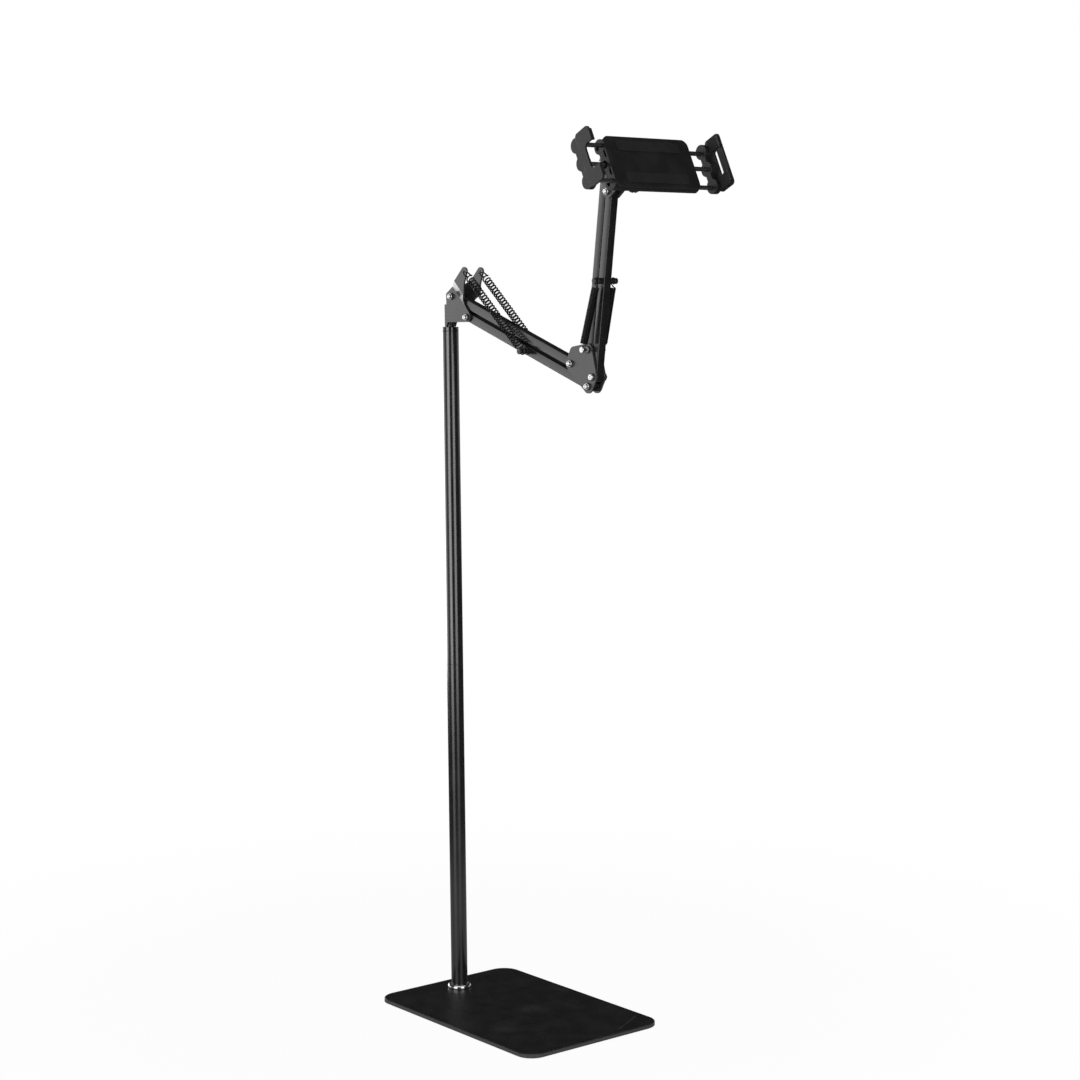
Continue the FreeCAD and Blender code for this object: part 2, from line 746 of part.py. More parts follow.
def lower_spring(side):
    """Spring from a shoulder ear to the post on the lower bar."""
    ear_hook = (ear_hook_radius, True)
    post_hook = (lower_post_radius + wire_corner + hook_play, False)
    return spring("lower spring", EAR_HOLE, LOWER_POST, side * lower_spring_y, lower_spring_radius,
                  lower_spring_turns, ear_hook, post_hook)


def upper_spring(side):
    """Spring from the elbow's post to the pin through the front bar."""
    post_hook = (elbow_post_radius + wire_corner + hook_play, False)
    pin_hook = (upper_pin_groove_radius + wire_corner + hook_play, False)
    return spring("upper spring", UPPER_PIN, REAR_LOW, side * upper_spring_y, upper_spring_radius,
                  upper_spring_turns, pin_hook, post_hook)


def head_bracket():
    """U-shaped sheet at the top of the arm whose front web carries the ball stud."""
    inner, outer = gap_half, cheek_outer
    nose_x = web_front - head_corner_radius
    low, high = FRONT_HIGH.z + head_web_low, FRONT_HIGH.z + head_web_high
    side = plate(belt([(FRONT_HIGH, head_boss), (xz(nose_x, low), head_corner_radius),
                       (xz(nose_x, high), head_corner_radius), (REAR_HIGH, head_boss)]),
                 -2 * outer, 2 * outer)
    z0, z1 = FRONT_HIGH.z - 2 * head_boss, REAR_HIGH.z + 2 * head_boss
    x0 = REAR_HIGH.x - 2 * head_boss

    def strip(half, front, bend):
        ring = [(Vector(x0, -half, z0), 0), (Vector(front, -half, z0), bend),
                (Vector(front, half, z0), bend), (Vector(x0, half, z0), 0)]
        return Part.Face(rounded_outline(ring)).extrude(Vector(0, 0, z1 - z0))

    fold = strip(outer, web_front, head_bend_radius)
    hollow = strip(inner, web_front - sheet, head_bend_radius - sheet)
    body = fold.cut(hollow).common(side)
    for point in (FRONT_HIGH, REAR_HIGH):
        body = body.cut(cross_bar(pivot_radius + SEAT_GAP, point, -2 * outer, 2 * outer))
    stud_hole = cylinder(ball_stud_radius + SEAT_GAP, xz(web_front - 3 * sheet, BALL.z),
                         xz(web_front + 3 * sheet, BALL.z))
    return body.cut(stud_hole)


def ball_stud():
    """Ball on a slim neck, with a flange on the web and a threaded tail through it."""
    seat = -ball_ahead_of_web
    tail = seat - sheet - ball_nut_height - screw_tail
    flange = seat + ball_flange_height
    neck = 180 - math.degrees(math.asin(ball_neck_radius / ball_radius))
    shank = [(tail, 0), (tail, ball_stud_radius), (seat, ball_stud_radius), (seat, ball_flange_radius),
             (flange, ball_flange_radius), (flange, ball_neck_radius)]
    return x_turned(shank + ball_outline(ball_radius, neck, 0), BALL)


def ball_stud_nut():
    """Hexagon nut behind the web."""
    web_rear = web_front - sheet
    r = ball_nut_flats / math.sqrt(3)
    ring = [Vector(web_rear - ball_nut_height, r * math.sin(i * math.pi / 3),
                   BALL.z + r * math.cos(i * math.pi / 3)) for i in range(6)]
    body = Part.Face(Part.makePolygon(ring + [ring[0]])).extrude(Vector(ball_nut_height, 0, 0))
    return body.cut(cylinder(ball_stud_radius + SEAT_GAP, xz(web_rear - 3 * ball_nut_height, BALL.z),
                             xz(web_rear + OVERRUN, BALL.z)))


# The clamp is drawn upright: x along the tablet's front normal, y across, z along the tablet,
# with the origin in the middle of the tablet's front face. The ball's centre is at x = -ball_behind_face.
shell_back = tube_axis_x - tube_radius
ball_x = -ball_behind_face
tube_rows = (-tube_pitch, 0.0, tube_pitch)


def three_tubes(y0, y1):
    """Three parallel rounds with the web that joins them, between two planes across Y."""
    parts = [cross_bar(tube_radius, xz(tube_axis_x, z), y0, y1) for z in tube_rows]
    parts.append(block(tube_axis_x - tube_web_half, tube_axis_x + tube_web_half, y0, y1,
                       tube_rows[0], tube_rows[-1]))
    return joined(parts)


def tube_bores(y0, y1):
    """Bores for the guide rods and the middle spring."""
    parts = []
    for z in (tube_rows[0], tube_rows[-1]):
        for offset in (-rod_offset, rod_offset):
            parts.append(cross_bar(rod_radius + RUNNING_FIT, xz(tube_axis_x + offset, z), y0, y1))
    parts.append(cross_bar(clamp_spring_bore_radius, xz(tube_axis_x, 0), y0, y1))
    return parts


def rounded_slab(x0, x1, half_length, middle_z, half_width, corner):
    """A flat rectangle with rounded corners that faces along the clamp's X."""
    ring = [(Vector(x0, sy * half_length, middle_z + sz * half_width), corner)
            for sy, sz in ((-1, -1), (1, -1), (1, 1), (-1, 1))]
    return Part.Face(rounded_outline(ring)).extrude(Vector(x1 - x0, 0, 0))


def clamp_front_shell():
    """Front half of the clamp's body: a flat face with rounded corners over half tubes."""
    y = clamp_half_length
    z = clamp_half_height
    front = rounded_slab(clamp_front_x - shell_wall, clamp_front_x, y, 0, z, clamp_corner)
    tubes = three_tubes(-y, y).common(block(tube_axis_x + SEAT_GAP / 2, clamp_front_x - shell_wall / 2,
                                            -2 * y, 2 * y, -2 * z, 2 * z))
    body = joined([front, tubes])
    for bore in tube_bores(-2 * y, 2 * y):
        body = body.cut(bore)
    through = Vector(2 * shell_screw_length, 0, 0)
    blind = Vector(shell_wall / 4, 0, 0)
    for place in shell_screw_places():
        body = body.cut(cylinder(shell_screw_radius + SEAT_GAP, place - through, place + blind))
    return body


def clamp_back_shell():
    """Rear half of the clamp's body: three half tubes and the seat for the ball socket."""
    y = clamp_half_length
    z = clamp_half_height
    split = tube_axis_x - SEAT_GAP / 2
    tubes = three_tubes(-y, y).common(block(2 * shell_back, split, -2 * y, 2 * y, -2 * z, 2 * z))
    seat = cylinder(socket_radius + socket_seat_wall, Vector(split, 0, 0), Vector(shell_back, 0, 0))
    body = joined([tubes, seat])
    for bore in tube_bores(-2 * y, 2 * y):
        body = body.cut(bore)
    body = body.cut(cylinder(socket_spigot_radius + RUNNING_FIT, Vector(shell_back - OVERRUN, 0, 0),
                             Vector(shell_back + socket_spigot_length + SIDE_GAP, 0, 0)))
    through = Vector(2 * shell_screw_length, 0, 0)
    for place in shell_screw_places():
        body = body.cut(cylinder(shell_screw_radius + SEAT_GAP, place - through, place))
    return body


def shell_screw_places():
    """Where the shell screws' inner ends lie, in the webs between the tubes."""
    return [Vector(clamp_front_x - shell_wall, sy * shell_screw_y, sz * tube_pitch / 2)
            for sy in (-1, 1) for sz in (-1, 1)]


def clamp_screws():
    """Small pan screws that hold the two halves, put in from behind."""
    web_back = tube_axis_x - tube_web_half
    screws = []
    for place in shell_screw_places():
        seat = Vector(web_back, place.y, place.z)
        shank = cylinder(shell_screw_radius, seat, Vector(place.x - SEAT_GAP, place.y, place.z))
        head = cylinder(shell_screw_head_radius, seat - Vector(shell_screw_head_height, 0, 0), seat)
        screws.append(leaned(joined([shank, head])))
    return group(screws)


def clamp_grip_pads():
    """Two rubber strips on the clamp's front face that the tablet leans on."""
    face = clamp_front_x + grip_pad_height
    return group([leaned(rounded_slab(clamp_front_x, face, grip_pad_half_length, z, grip_pad_half_width,
                                      grip_pad_corner)) for z in (-grip_pad_z, grip_pad_z)])


def clamp_spring():
    """The hidden spring that draws both jaws inward, as its plain outer shape."""
    outer = cross_bar(clamp_spring_radius, xz(tube_axis_x, 0), -plunger_inner_end, plunger_inner_end)
    return outer.cut(cross_bar(clamp_spring_radius - wire, xz(tube_axis_x, 0), -2 * plunger_inner_end,
                               2 * plunger_inner_end))


jaw_inner = tablet_width / 2 + SIDE_GAP + jaw_pad
jaw_outer = jaw_inner + jaw_wall
boss_inner = jaw_inner - boss_thickness
rod_depth = boss_thickness - 2 * SEAT_GAP


def jaw_body(side, slot):
    """One jaw: wall with two fingers, short lips, and three bosses behind it."""
    s = side
    z = jaw_half_height
    rim = [(Vector(jaw_rear_x, 0, -z), jaw_corner), (Vector(jaw_front_x, 0, -z), jaw_corner),
           (Vector(jaw_front_x, 0, z), jaw_corner), (Vector(jaw_rear_x, 0, z), jaw_corner)]
    low, high = sorted((s * jaw_inner, s * jaw_outer))
    wall = plate(rounded_outline(rim), low, high)
    low, high = sorted((s * (jaw_inner - lip_reach), s * (jaw_inner + jaw_wall / 2)))
    lip = block(jaw_front_x - lip_thickness, jaw_front_x, low, high, -z + jaw_corner, z - jaw_corner)
    low, high = sorted((s * boss_inner, s * (jaw_inner + jaw_wall / 2)))
    bosses = three_tubes(low, high)
    body = joined([wall, lip, bosses])
    x0, x1, r = slot
    cut = [(Vector(x0, 0, -jaw_slot_half), r), (Vector(x1, 0, -jaw_slot_half), r if x1 < jaw_front_x else 0),
           (Vector(x1, 0, jaw_slot_half), r if x1 < jaw_front_x else 0), (Vector(x0, 0, jaw_slot_half), r)]
    body = body.cut(plate(rounded_outline(cut), -2 * jaw_outer, 2 * jaw_outer))
    if x1 < jaw_front_x:
        low, high = sorted((s * (jaw_inner - 2 * lip_reach), s * jaw_inner))
        body = body.cut(block(jaw_front_x - 2 * lip_thickness, jaw_front_x + OVERRUN, low, high,
                              -jaw_slot_half, jaw_slot_half))
    mouth, bottom = s * (boss_inner - OVERRUN), s * (boss_inner + rod_depth + SEAT_GAP)
    for z_row, offset, radius in jaw_rod_places(side):
        body = body.cut(cross_bar(radius + SEAT_GAP, xz(tube_axis_x + offset, z_row), mouth, bottom))
    return body




def jaw_rod_places(side):
    """Rows, offsets and radii of the rods fixed in one jaw."""
    offset = rod_offset if side < 0 else -rod_offset
    return [(tube_rows[0], offset, rod_radius), (tube_rows[-1], offset, rod_radius),
            (tube_rows[1], 0.0, plunger_radius)]


def left_jaw():
    """Left jaw: its slot is open at the front."""
    return leaned(jaw_body(-1, (left_slot_rear_x, jaw_front_x + OVERRUN, slot_corner)))


def right_jaw():
    """Right jaw: its window is closed at the front by a strip."""
    return leaned(jaw_body(1, (right_slot_rear_x, right_slot_front_x, window_corner)))


def jaw_pads(side):
    """Rubber strips on the inner faces of a jaw's two fingers."""
    strips = []
    x0, x1 = jaw_pad_rear_x, jaw_front_x - lip_thickness - SIDE_GAP
    near, far = jaw_slot_half + jaw_pad_margin, jaw_half_height - jaw_pad_margin
    low, high = sorted((side * (jaw_inner - jaw_pad), side * jaw_inner))
    for z0, z1 in ((-far, -near), (near, far)):
        ring = [(xz(x, z), jaw_pad_corner) for x, z in ((x0, z0), (x1, z0), (x1, z1), (x0, z1))]
        strips.append(leaned(plate(rounded_outline(ring), low, high)))
    return group(strips)


def guide_rods(side):
    """Two steel rods fixed in a jaw that slide in the clamp's outer tubes."""
    rods = []
    for z_row, offset, radius in jaw_rod_places(side)[:2]:
        rods.append(leaned(cross_bar(radius, xz(tube_axis_x + offset, z_row), -side * rod_inner_end,
                                     side * (boss_inner + rod_depth))))
    return group(rods)


def plunger(side):
    """Short rod between a jaw and the middle spring."""
    return leaned(cross_bar(plunger_radius, xz(tube_axis_x, 0), side * plunger_inner_end,
                            side * (boss_inner + rod_depth)))


def beside_ball(points):
    """An outline about the ball's centre shifted to its place behind the clamp."""
    return [(ball_x + x, r) for x, r in points]


def ball_socket():
    """Socket behind the clamp that holds the front half of the ball, with a spigot in the shell."""
    step = ball_x + nut_ring_front + SEAT_GAP
    shoulder = shell_back - SIDE_GAP
    spigot = shell_back + socket_spigot_length
    rim = math.degrees(math.acos(SEAT_GAP / socket_cavity))
    cavity = beside_ball(ball_outline(socket_cavity, rim, 0, around=True))
    return leaned(x_turned([(spigot, 0), (spigot, socket_spigot_radius), (shoulder, socket_spigot_radius),
                            (shoulder, socket_radius), (step, socket_radius), (step, socket_thread_radius),
                            (cavity[0][0], socket_thread_radius)] + cavity))


def lock_nut():
    """Ribbed ring that holds the ball in its socket, flared behind so that the neck can lean."""
    front, rear = ball_x + nut_ring_front, ball_x - nut_ring_rear
    hold = math.radians(ball_hold_angle)
    seat = ball_radius + OPEN_PIVOT_FIT
    thread = socket_thread_radius + SEAT_GAP
    body = x_turned([(front, thread), (front, nut_ring_radius), (rear, nut_ring_radius),
                     (rear, nut_ring_flare), (ball_x - seat * math.sin(hold), seat * math.cos(hold)),
                     (ball_x, seat), (ball_x, thread)])
    reach = nut_ring_radius + nut_ring_groove_radius - nut_ring_groove_depth
    for i in range(nut_ring_grooves):
        angle = 2 * math.pi * i / nut_ring_grooves
        y, z = reach * math.cos(angle), reach * math.sin(angle)
        body = body.cut(cylinder(nut_ring_groove_radius, Vector(rear - OVERRUN, y, z),
                                 Vector(front + OVERRUN, y, z)))
    return leaned(body)


def friction_pad():
    """Cap-shaped pad between the ball and the bottom of its socket."""
    outer = ball_outline(friction_pad_outer, 0, friction_pad_angle)
    inner = ball_outline(friction_pad_inner, friction_pad_angle, 0, around=True)
    return leaned(x_turned(beside_ball(outer + inner)))


def make_all():
    """Every node's shape under its name."""
    run = pivot_radius + RUNNING_FIT
    free = pivot_radius + OPEN_PIVOT_FIT
    nodes = {
        "base_plate": base_plate(),
        "base_pad": base_pad(),
        "base_screw": base_screw(),
        "base_ring": base_ring(),
        "pole_foot_plug": pole_foot_plug(),
        "lower_pole": pole_tube(base_top),
        "pole_joint_stud": pole_joint_stud(),
        "pole_joint_socket": pole_joint_socket(),
        "upper_pole": pole_tube(seam_z),
        "pole_collar": pole_collar(),
        "swivel_pin": swivel_pin(),
        "pin_clip": pin_clip(),
        "shoulder_bracket": shoulder_bracket(),
        "shoulder_screws": group([pivot_screw(SHOULDER_HIGH), pivot_screw(SHOULDER_LOW)]),
        "shoulder_nuts": group([pivot_nut(SHOULDER_HIGH), pivot_nut(SHOULDER_LOW)]),
        "lower_arm_lower_bar": bar(SHOULDER_LOW, ELBOW_LOW, [
            (SHOULDER_LOW, run), (ELBOW_LOW, run), (LOWER_POST, lower_post_radius + SEAT_GAP)]),
        "lower_arm_upper_bar": bar(SHOULDER_HIGH, ELBOW_HIGH, [(SHOULDER_HIGH, run), (ELBOW_HIGH, free)]),
        "lower_spring_post": spring_post(LOWER_POST, lower_post_radius, lower_post_half_length, bar_size / 2),
        "elbow_plate_left": elbow_plate(-1),
        "elbow_plate_right": elbow_plate(1),
        "elbow_screws": group([pivot_screw(ELBOW_HIGH), pivot_screw(ELBOW_LOW),
                               pivot_screw(FRONT_LOW, domed=False)]),
        "elbow_nuts": group([pivot_nut(ELBOW_HIGH), pivot_nut(ELBOW_LOW), pivot_nut(FRONT_LOW)]),
        "elbow_spring_post": spring_post(REAR_LOW, elbow_post_radius, elbow_post_half_length, cheek_outer),
        "upper_arm_front_bar": bar(FRONT_LOW, FRONT_HIGH, [
            (FRONT_LOW, run), (FRONT_HIGH, run), (UPPER_PIN, upper_pin_radius + SEAT_GAP)]),
        "upper_arm_rear_bar": bar(REAR_LOW, REAR_HIGH, [(REAR_LOW, run), (REAR_HIGH, free)]),
        "upper_spring_pin": upper_spring_pin(),
        "head_bracket": head_bracket(),
        "head_screws": group([pivot_screw(FRONT_HIGH), pivot_screw(REAR_HIGH)]),
        "head_nuts": group([pivot_nut(FRONT_HIGH), pivot_nut(REAR_HIGH)]),
        "ball_stud": ball_stud(),
        "ball_stud_nut": ball_stud_nut(),
        "friction_pad": friction_pad(),
        "ball_socket": ball_socket(),
        "lock_nut": lock_nut(),
        "clamp_front_shell": leaned(clamp_front_shell()),
        "clamp_back_shell": leaned(clamp_back_shell()),
        "clamp_screws": clamp_screws(),
        "clamp_grip_pads": clamp_grip_pads(),
        "clamp_spring": leaned(clamp_spring()),
        "left_jaw": left_jaw(),
        "right_jaw": right_jaw(),
    }
    for side, word in ((-1, "left"), (1, "right")):
        nodes["lower_spring_" + word] = lower_spring(side)
        nodes["upper_spring_" + word] = upper_spring(side)
        nodes[word + "_jaw_pads"] = jaw_pads(side)
        nodes[word + "_guide_rods"] = guide_rods(side)
        nodes[word + "_plunger"] = plunger(side)
    return nodes


os.makedirs("parts", exist_ok=True)
for node_name, node_shape in make_all().items():
    if not node_shape.isValid():
        print("not valid:", node_name)
    node_shape.exportStep("parts/" + node_name + ".step")
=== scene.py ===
import json
import math

import bmesh
import bpy
from mathutils import Matrix, Vector


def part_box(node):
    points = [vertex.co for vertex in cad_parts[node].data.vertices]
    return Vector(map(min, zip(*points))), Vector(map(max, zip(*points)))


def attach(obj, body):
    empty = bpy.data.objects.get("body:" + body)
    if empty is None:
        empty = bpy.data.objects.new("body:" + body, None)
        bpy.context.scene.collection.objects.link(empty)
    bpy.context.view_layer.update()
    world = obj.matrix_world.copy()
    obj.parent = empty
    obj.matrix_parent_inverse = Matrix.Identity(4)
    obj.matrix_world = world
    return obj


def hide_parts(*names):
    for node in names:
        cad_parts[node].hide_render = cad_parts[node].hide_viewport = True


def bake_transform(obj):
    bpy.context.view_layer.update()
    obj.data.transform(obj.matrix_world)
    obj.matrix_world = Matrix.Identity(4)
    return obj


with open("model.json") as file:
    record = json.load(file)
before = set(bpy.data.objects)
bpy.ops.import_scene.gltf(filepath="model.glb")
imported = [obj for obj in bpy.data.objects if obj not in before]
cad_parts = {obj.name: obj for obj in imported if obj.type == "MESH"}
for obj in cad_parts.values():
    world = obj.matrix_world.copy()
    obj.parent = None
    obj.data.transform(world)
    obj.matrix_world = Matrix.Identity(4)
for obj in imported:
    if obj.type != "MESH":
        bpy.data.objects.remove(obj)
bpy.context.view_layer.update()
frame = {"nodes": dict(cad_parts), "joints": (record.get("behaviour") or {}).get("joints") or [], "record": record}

# Tablet floor stand, in metres, in the frame's own axes: +Z up the pole, +X the way the arm reaches.
# Left pieces lie on the -Y side.
MM = 0.001
UP = Vector((0, 0, 1))
LEFT = Vector((0, -1, 0))
FRONT = Vector((1, 0, 0))
ORIGIN = Vector((0, 0, 0))

# Camera, as found from the photograph's straight edges
CAMERA_PLACE = Vector((2.19023, -1.60353, 0.82314))
CAMERA_AZIMUTH = math.radians(51.563)
CAMERA_PITCH = math.radians(5.516)
CAMERA_ROLL = math.radians(-0.599)
CAMERA_FOCAL_PIXELS = 2239.2
PICTURE_PIXELS = 1080.0
SENSOR = 36.0
CAMERA_REACH = 100.0

# Springs
LOWER_WIRE = 1.85 * MM
UPPER_WIRE = 1.4 * MM
LOWER_COIL = 4.05 * MM  # radius of the coil's middle line
UPPER_COIL = 3.8 * MM
LOWER_TURNS = 27
UPPER_TURNS = 45
LOWER_SPRING_Y = 12.0 * MM
UPPER_TOP_Y = 11.8 * MM
UPPER_FOOT_Y = 14.5 * MM
HOOK_LEAD = 4.5 * MM
HOOK_PLAY = 0.15 * MM
HOOK_TURN = math.radians(250.0)
EAR_HOOK = 4.5 * MM
EAR_LEAD = 2.2 * MM
EAR_HOLE = Vector((47.5, 0.0, 885.0)) * MM

# Base, ring, pole and collar
BASE_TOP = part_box("base_plate")[1].z
POLE_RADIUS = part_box("lower_pole")[1].x
POLE_WALL = 1.2 * MM
SEAM_EDGE = 0.2 * MM
COLLAR_HEIGHT = 5.0 * MM
COLLAR_ROUND = 0.6 * MM
BUSH_RADIUS = 8.7 * MM
PIN_BORE = 5.05 * MM
RING_BORE = 10.1 * MM
RING_RIM = 3.0 * MM
RING_SLOPE = 1.7 * MM
RING_ROUND = 0.9 * MM

# Screws across the arm. Lengths along them are from the stand's middle plane.
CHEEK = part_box("elbow_plate_right")[1].y  # outer face of the sheet brackets
SHANK = 2.5 * MM
SCREW_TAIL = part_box("elbow_screws")[1].y
TAIL_BREAK = 0.2  # share of the radius that the chamfer on a tail takes
WASHER = (4.45 * MM, 0.8 * MM)  # radius and height
WASHER_ROUND = 0.15 * MM
FLANGE = (3.7 * MM, 1.7 * MM)
STUB = (2.9 * MM, 2.8 * MM, 4.6 * MM)  # radius at the root, radius at the tip, height above the cheek
STUB_FOOT = (0.85, 0.3 * MM)  # share of the root's radius in the corner on the flange, and its height
STUB_DIMPLE = (0.5, 0.4, 0.35 * MM)  # shares of the tip's radius at the top and bottom, and the depth
SCREW_ROUND = 0.7 * MM
PAN = (4.0 * MM, 3.2 * MM)
PAN_DOME = (0.8, 0.3)  # share of the radius at the top, and share of the height that slopes to it
PAN_DIMPLE = (0.35, 0.2, 0.15)  # shares of the radius at the top and bottom, and share of the height
PAN_ROUND = 0.35 * MM
PAN_PLAY = 0.05 * MM

# Spring posts and pin across the arm. Heads and bases are a radius and a height.
POST_HEAD = (3.6 * MM, 3.2 * MM)
POST_BASE = (4.2 * MM, 2.4 * MM)
POST_ROUND = 0.5 * MM
LOWER_POST_RADIUS = 2.6 * MM
ELBOW_POST_RADIUS = 2.5 * MM
ELBOW_NECK = 1.8 * MM
ELBOW_BASE = (4.2 * MM, 1.2 * MM)
ELBOW_HEAD = (3.5 * MM, 1.1 * MM)
ELBOW_END = 16.4 * MM
PIN_RADIUS = 3.4 * MM
PIN_GROOVE = 2.6 * MM
PIN_SLOPE = 0.3 * MM
PIN_ROUND = 0.4 * MM

# Square bars
BAR_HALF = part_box("lower_arm_lower_bar")[1].y
BAR_WALL = 1.0 * MM
BAR_CORNER = 0.5 * MM
BAR_END = 5.0 * MM
BAR_END_ROUND = 2.5 * MM
BAR_END_STEPS = 6
BAR_MOUTH = 9.0 * MM

# Ball stud. Lengths along it are from the ball's centre, backward negative.
BALL_RADIUS = 8.5 * MM
BALL_STEPS = 40
BALL_SEAT = -19.6 * MM
BALL_FLANGE = (5.5 * MM, 3.0 * MM)
BALL_NECK = 3.0 * MM
BALL_NECK_END = -1.25 * BALL_RADIUS
BALL_ROUND = 0.5 * MM

TURN_STEPS = 64
EASE_SHARE = 0.45  # the most of an edge that one rounding takes
SHARP_ANGLE = math.radians(40.0)


def joint(name):
    """One joint of the frame."""
    return next(j for j in frame["joints"] if j["name"] == name)


def pivot(name):
    """Where a joint's axis crosses the stand's middle plane."""
    place = Vector(joint(name)["pos_m"])
    return Vector((place.x, 0.0, place.z))


def middle(node):
    """The middle of a node's box, on the stand's middle plane."""
    low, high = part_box(node)
    centre = (low + high) / 2
    return Vector((centre.x, 0.0, centre.z))


BALL = pivot("ball_pan")
SHOULDER_LOW = pivot("lower_arm_lift")
SHOULDER_HIGH = pivot("lower_link_swing")
ELBOW_LOW = pivot("elbow_level")
ELBOW_HIGH = SHOULDER_HIGH + ELBOW_LOW - SHOULDER_LOW
FRONT_LOW = pivot("upper_arm_lift")
REAR_LOW = pivot("upper_link_swing")
FRONT_HIGH = pivot("head_level")
REAR_HIGH = REAR_LOW + FRONT_HIGH - FRONT_LOW
LOWER_POST = middle("lower_spring_post")
UPPER_PIN = middle("upper_spring_pin")


def make_camera():
    """The camera that took the photograph."""
    a, p, r = CAMERA_AZIMUTH, CAMERA_PITCH, CAMERA_ROLL
    level_right = Vector((math.cos(a), math.sin(a), 0.0))
    ahead = Vector((-math.sin(a), math.cos(a), 0.0)) * math.cos(p) - UP * math.sin(p)
    level_up = level_right.cross(ahead)
    right = level_right * math.cos(r) + level_up * math.sin(r)
    up = level_up * math.cos(r) - level_right * math.sin(r)
    data = bpy.data.cameras.new("camera")
    data.sensor_fit = "HORIZONTAL"
    data.sensor_width = SENSOR
    data.lens = CAMERA_FOCAL_PIXELS / PICTURE_PIXELS * SENSOR
    data.clip_end = CAMERA_REACH
    camera = bpy.data.objects.new("camera", data)
    bpy.context.scene.collection.objects.link(camera)
    turn = Matrix((right, up, -ahead)).transposed()
    camera.matrix_world = Matrix.Translation(CAMERA_PLACE) @ turn.to_4x4()
    bpy.context.scene.camera = camera


make_camera()
bpy.context.scene.view_settings.view_transform = "Standard"


COLOUR_A, COLOUR_B, COLOUR_RESULT = 6, 7, 2  # a Mix node's colour sockets
NOISE_ROUGHNESS = 0.55


class Graph:
    """A small helper round a node tree."""

    def __init__(self, tree):
        self.tree = tree

    def node(self, kind, **values):
        made = self.tree.nodes.new(kind)
        for key, value in values.items():
            setattr(made, key, value)
        return made

    def link(self, source, target):
        self.tree.links.new(source, target)

    def put(self, socket, value):
        if isinstance(value, bpy.types.NodeSocket):
            self.link(value, socket)
        else:
            socket.default_value = value

    def math(self, operation, *inputs, clamp=False):
        made = self.node("ShaderNodeMath", operation=operation, use_clamp=clamp)
        for socket, value in zip(made.inputs, inputs):
            self.put(socket, value)
        return made.outputs[0]

    def ramp(self, value, low, high, to_low=0.0, to_high=1.0):
        made = self.node("ShaderNodeMapRange", interpolation_type="SMOOTHSTEP")
        made.inputs["From Min"].default_value = low
        made.inputs["From Max"].default_value = high
        made.inputs["To Min"].default_value = to_low
        made.inputs["To Max"].default_value = to_high
        self.put(made.inputs["Value"], value)
        return made.outputs["Result"]

    def dot(self, vector, constant):
        made = self.node("ShaderNodeVectorMath", operation="DOT_PRODUCT")
        self.put(made.inputs[0], vector)
        self.put(made.inputs[1], constant)
        return made.outputs["Value"]

    def mix(self, factor, a, b):
        made = self.node("ShaderNodeMix", data_type="RGBA")
        self.put(made.inputs["Factor"], factor)
        self.put(made.inputs[COLOUR_A], a)
        self.put(made.inputs[COLOUR_B], b)
        return made.outputs[COLOUR_RESULT]

    def noise(self, vector, scale, detail=3.0, stretch=None):
        if stretch is not None:
            mapping = self.node("ShaderNodeMapping")
            mapping.inputs["Scale"].default_value = stretch
            self.put(mapping.inputs["Vector"], vector)
            vector = mapping.outputs[0]
        made = self.node("ShaderNodeTexNoise")
        made.inputs["Scale"].default_value = scale
        made.inputs["Detail"].default_value = detail
        made.inputs["Roughness"].default_value = NOISE_ROUGHNESS
        self.put(made.inputs["Vector"], vector)
        return made.outputs["Fac"]


# Surroundings. Angles are in degrees round the stand from the camera's side, rightward positive.
# Heights are the sine of the angle above the horizon. The walls, window and ceiling show in gloss alone.
CAMERA_SIDE = Vector((CAMERA_PLACE.x, CAMERA_PLACE.y, 0.0)).normalized()
RIGHTWARD = Vector((math.cos(CAMERA_AZIMUTH), math.sin(CAMERA_AZIMUTH), 0.0))
LEFT_BOX = (-56.0, -23.0)
RIGHT_BOX = (15.0, 45.0)
BOX_DISTANCE = 2.5
BOX_HEIGHT = 2.0
LEFT_GLOW = 3.4
RIGHT_GLOW = 2.5
WHITE_WALL = (-160.0, -97.0)
WALL_GLOW = 1.7
GREY_WALL = (99.0, 160.0)
GREY_GLOW = 0.5
GREY_FOOT = (-0.10, -0.04)
DIM_WALL = (-97.0, -56.0)
DIM_GLOW = 0.3
WINDOW = (-168.0, -128.0)
WINDOW_GLOW = 3.0
WINDOW_FOOT = (-0.30, -0.08)
WINDOW_HEAD = (0.04, 0.14)
WALL_HEAD = (0.28, 0.46)
CEILING_FOOT = (0.8, 0.92)
CEILING_GLOW = 0.9
ROOM_GLOW = 0.03
AMBIENT = 0.22

# Floor. Reaches are distances from the pole between which something fades out.
FLOOR_RADIUS = 2.6
FLOOR_SIDES = 96
FLOOR_DROP = 0.2 * MM
FLOOR_SHADES = (0.86, 0.9)
FLOOR_GRAIN = 60.0
FLOOR_SHADOW = 0.04
SHADOW_REACH = (0.25, 1.1)
FLOOR_GLOW = 0.05
NEAR_REACH = (0.45, 1.0)
NEAR_GLOW = 0.28
LEFT_POOL = 0.6
RIGHT_POOL = 0.38


def grey(value, tint=0.0):
    """A near neutral colour, a little bluer with a tint."""
    return (value, value, value + tint, 1.0)


def seen_straight(graph):
    """1 for rays that show the surroundings plain white: from the camera, or through glass."""
    path = graph.node("ShaderNodeLightPath")
    return graph.math("MAXIMUM", path.outputs["Is Camera Ray"], path.outputs["Is Transmission Ray"]), path


def angle_round(graph, way):
    """The angle of a direction round the stand, in degrees from the camera's side."""
    turn = graph.math("ARCTAN2", graph.dot(way, RIGHTWARD), graph.dot(way, CAMERA_SIDE))
    return graph.math("DEGREES", turn)


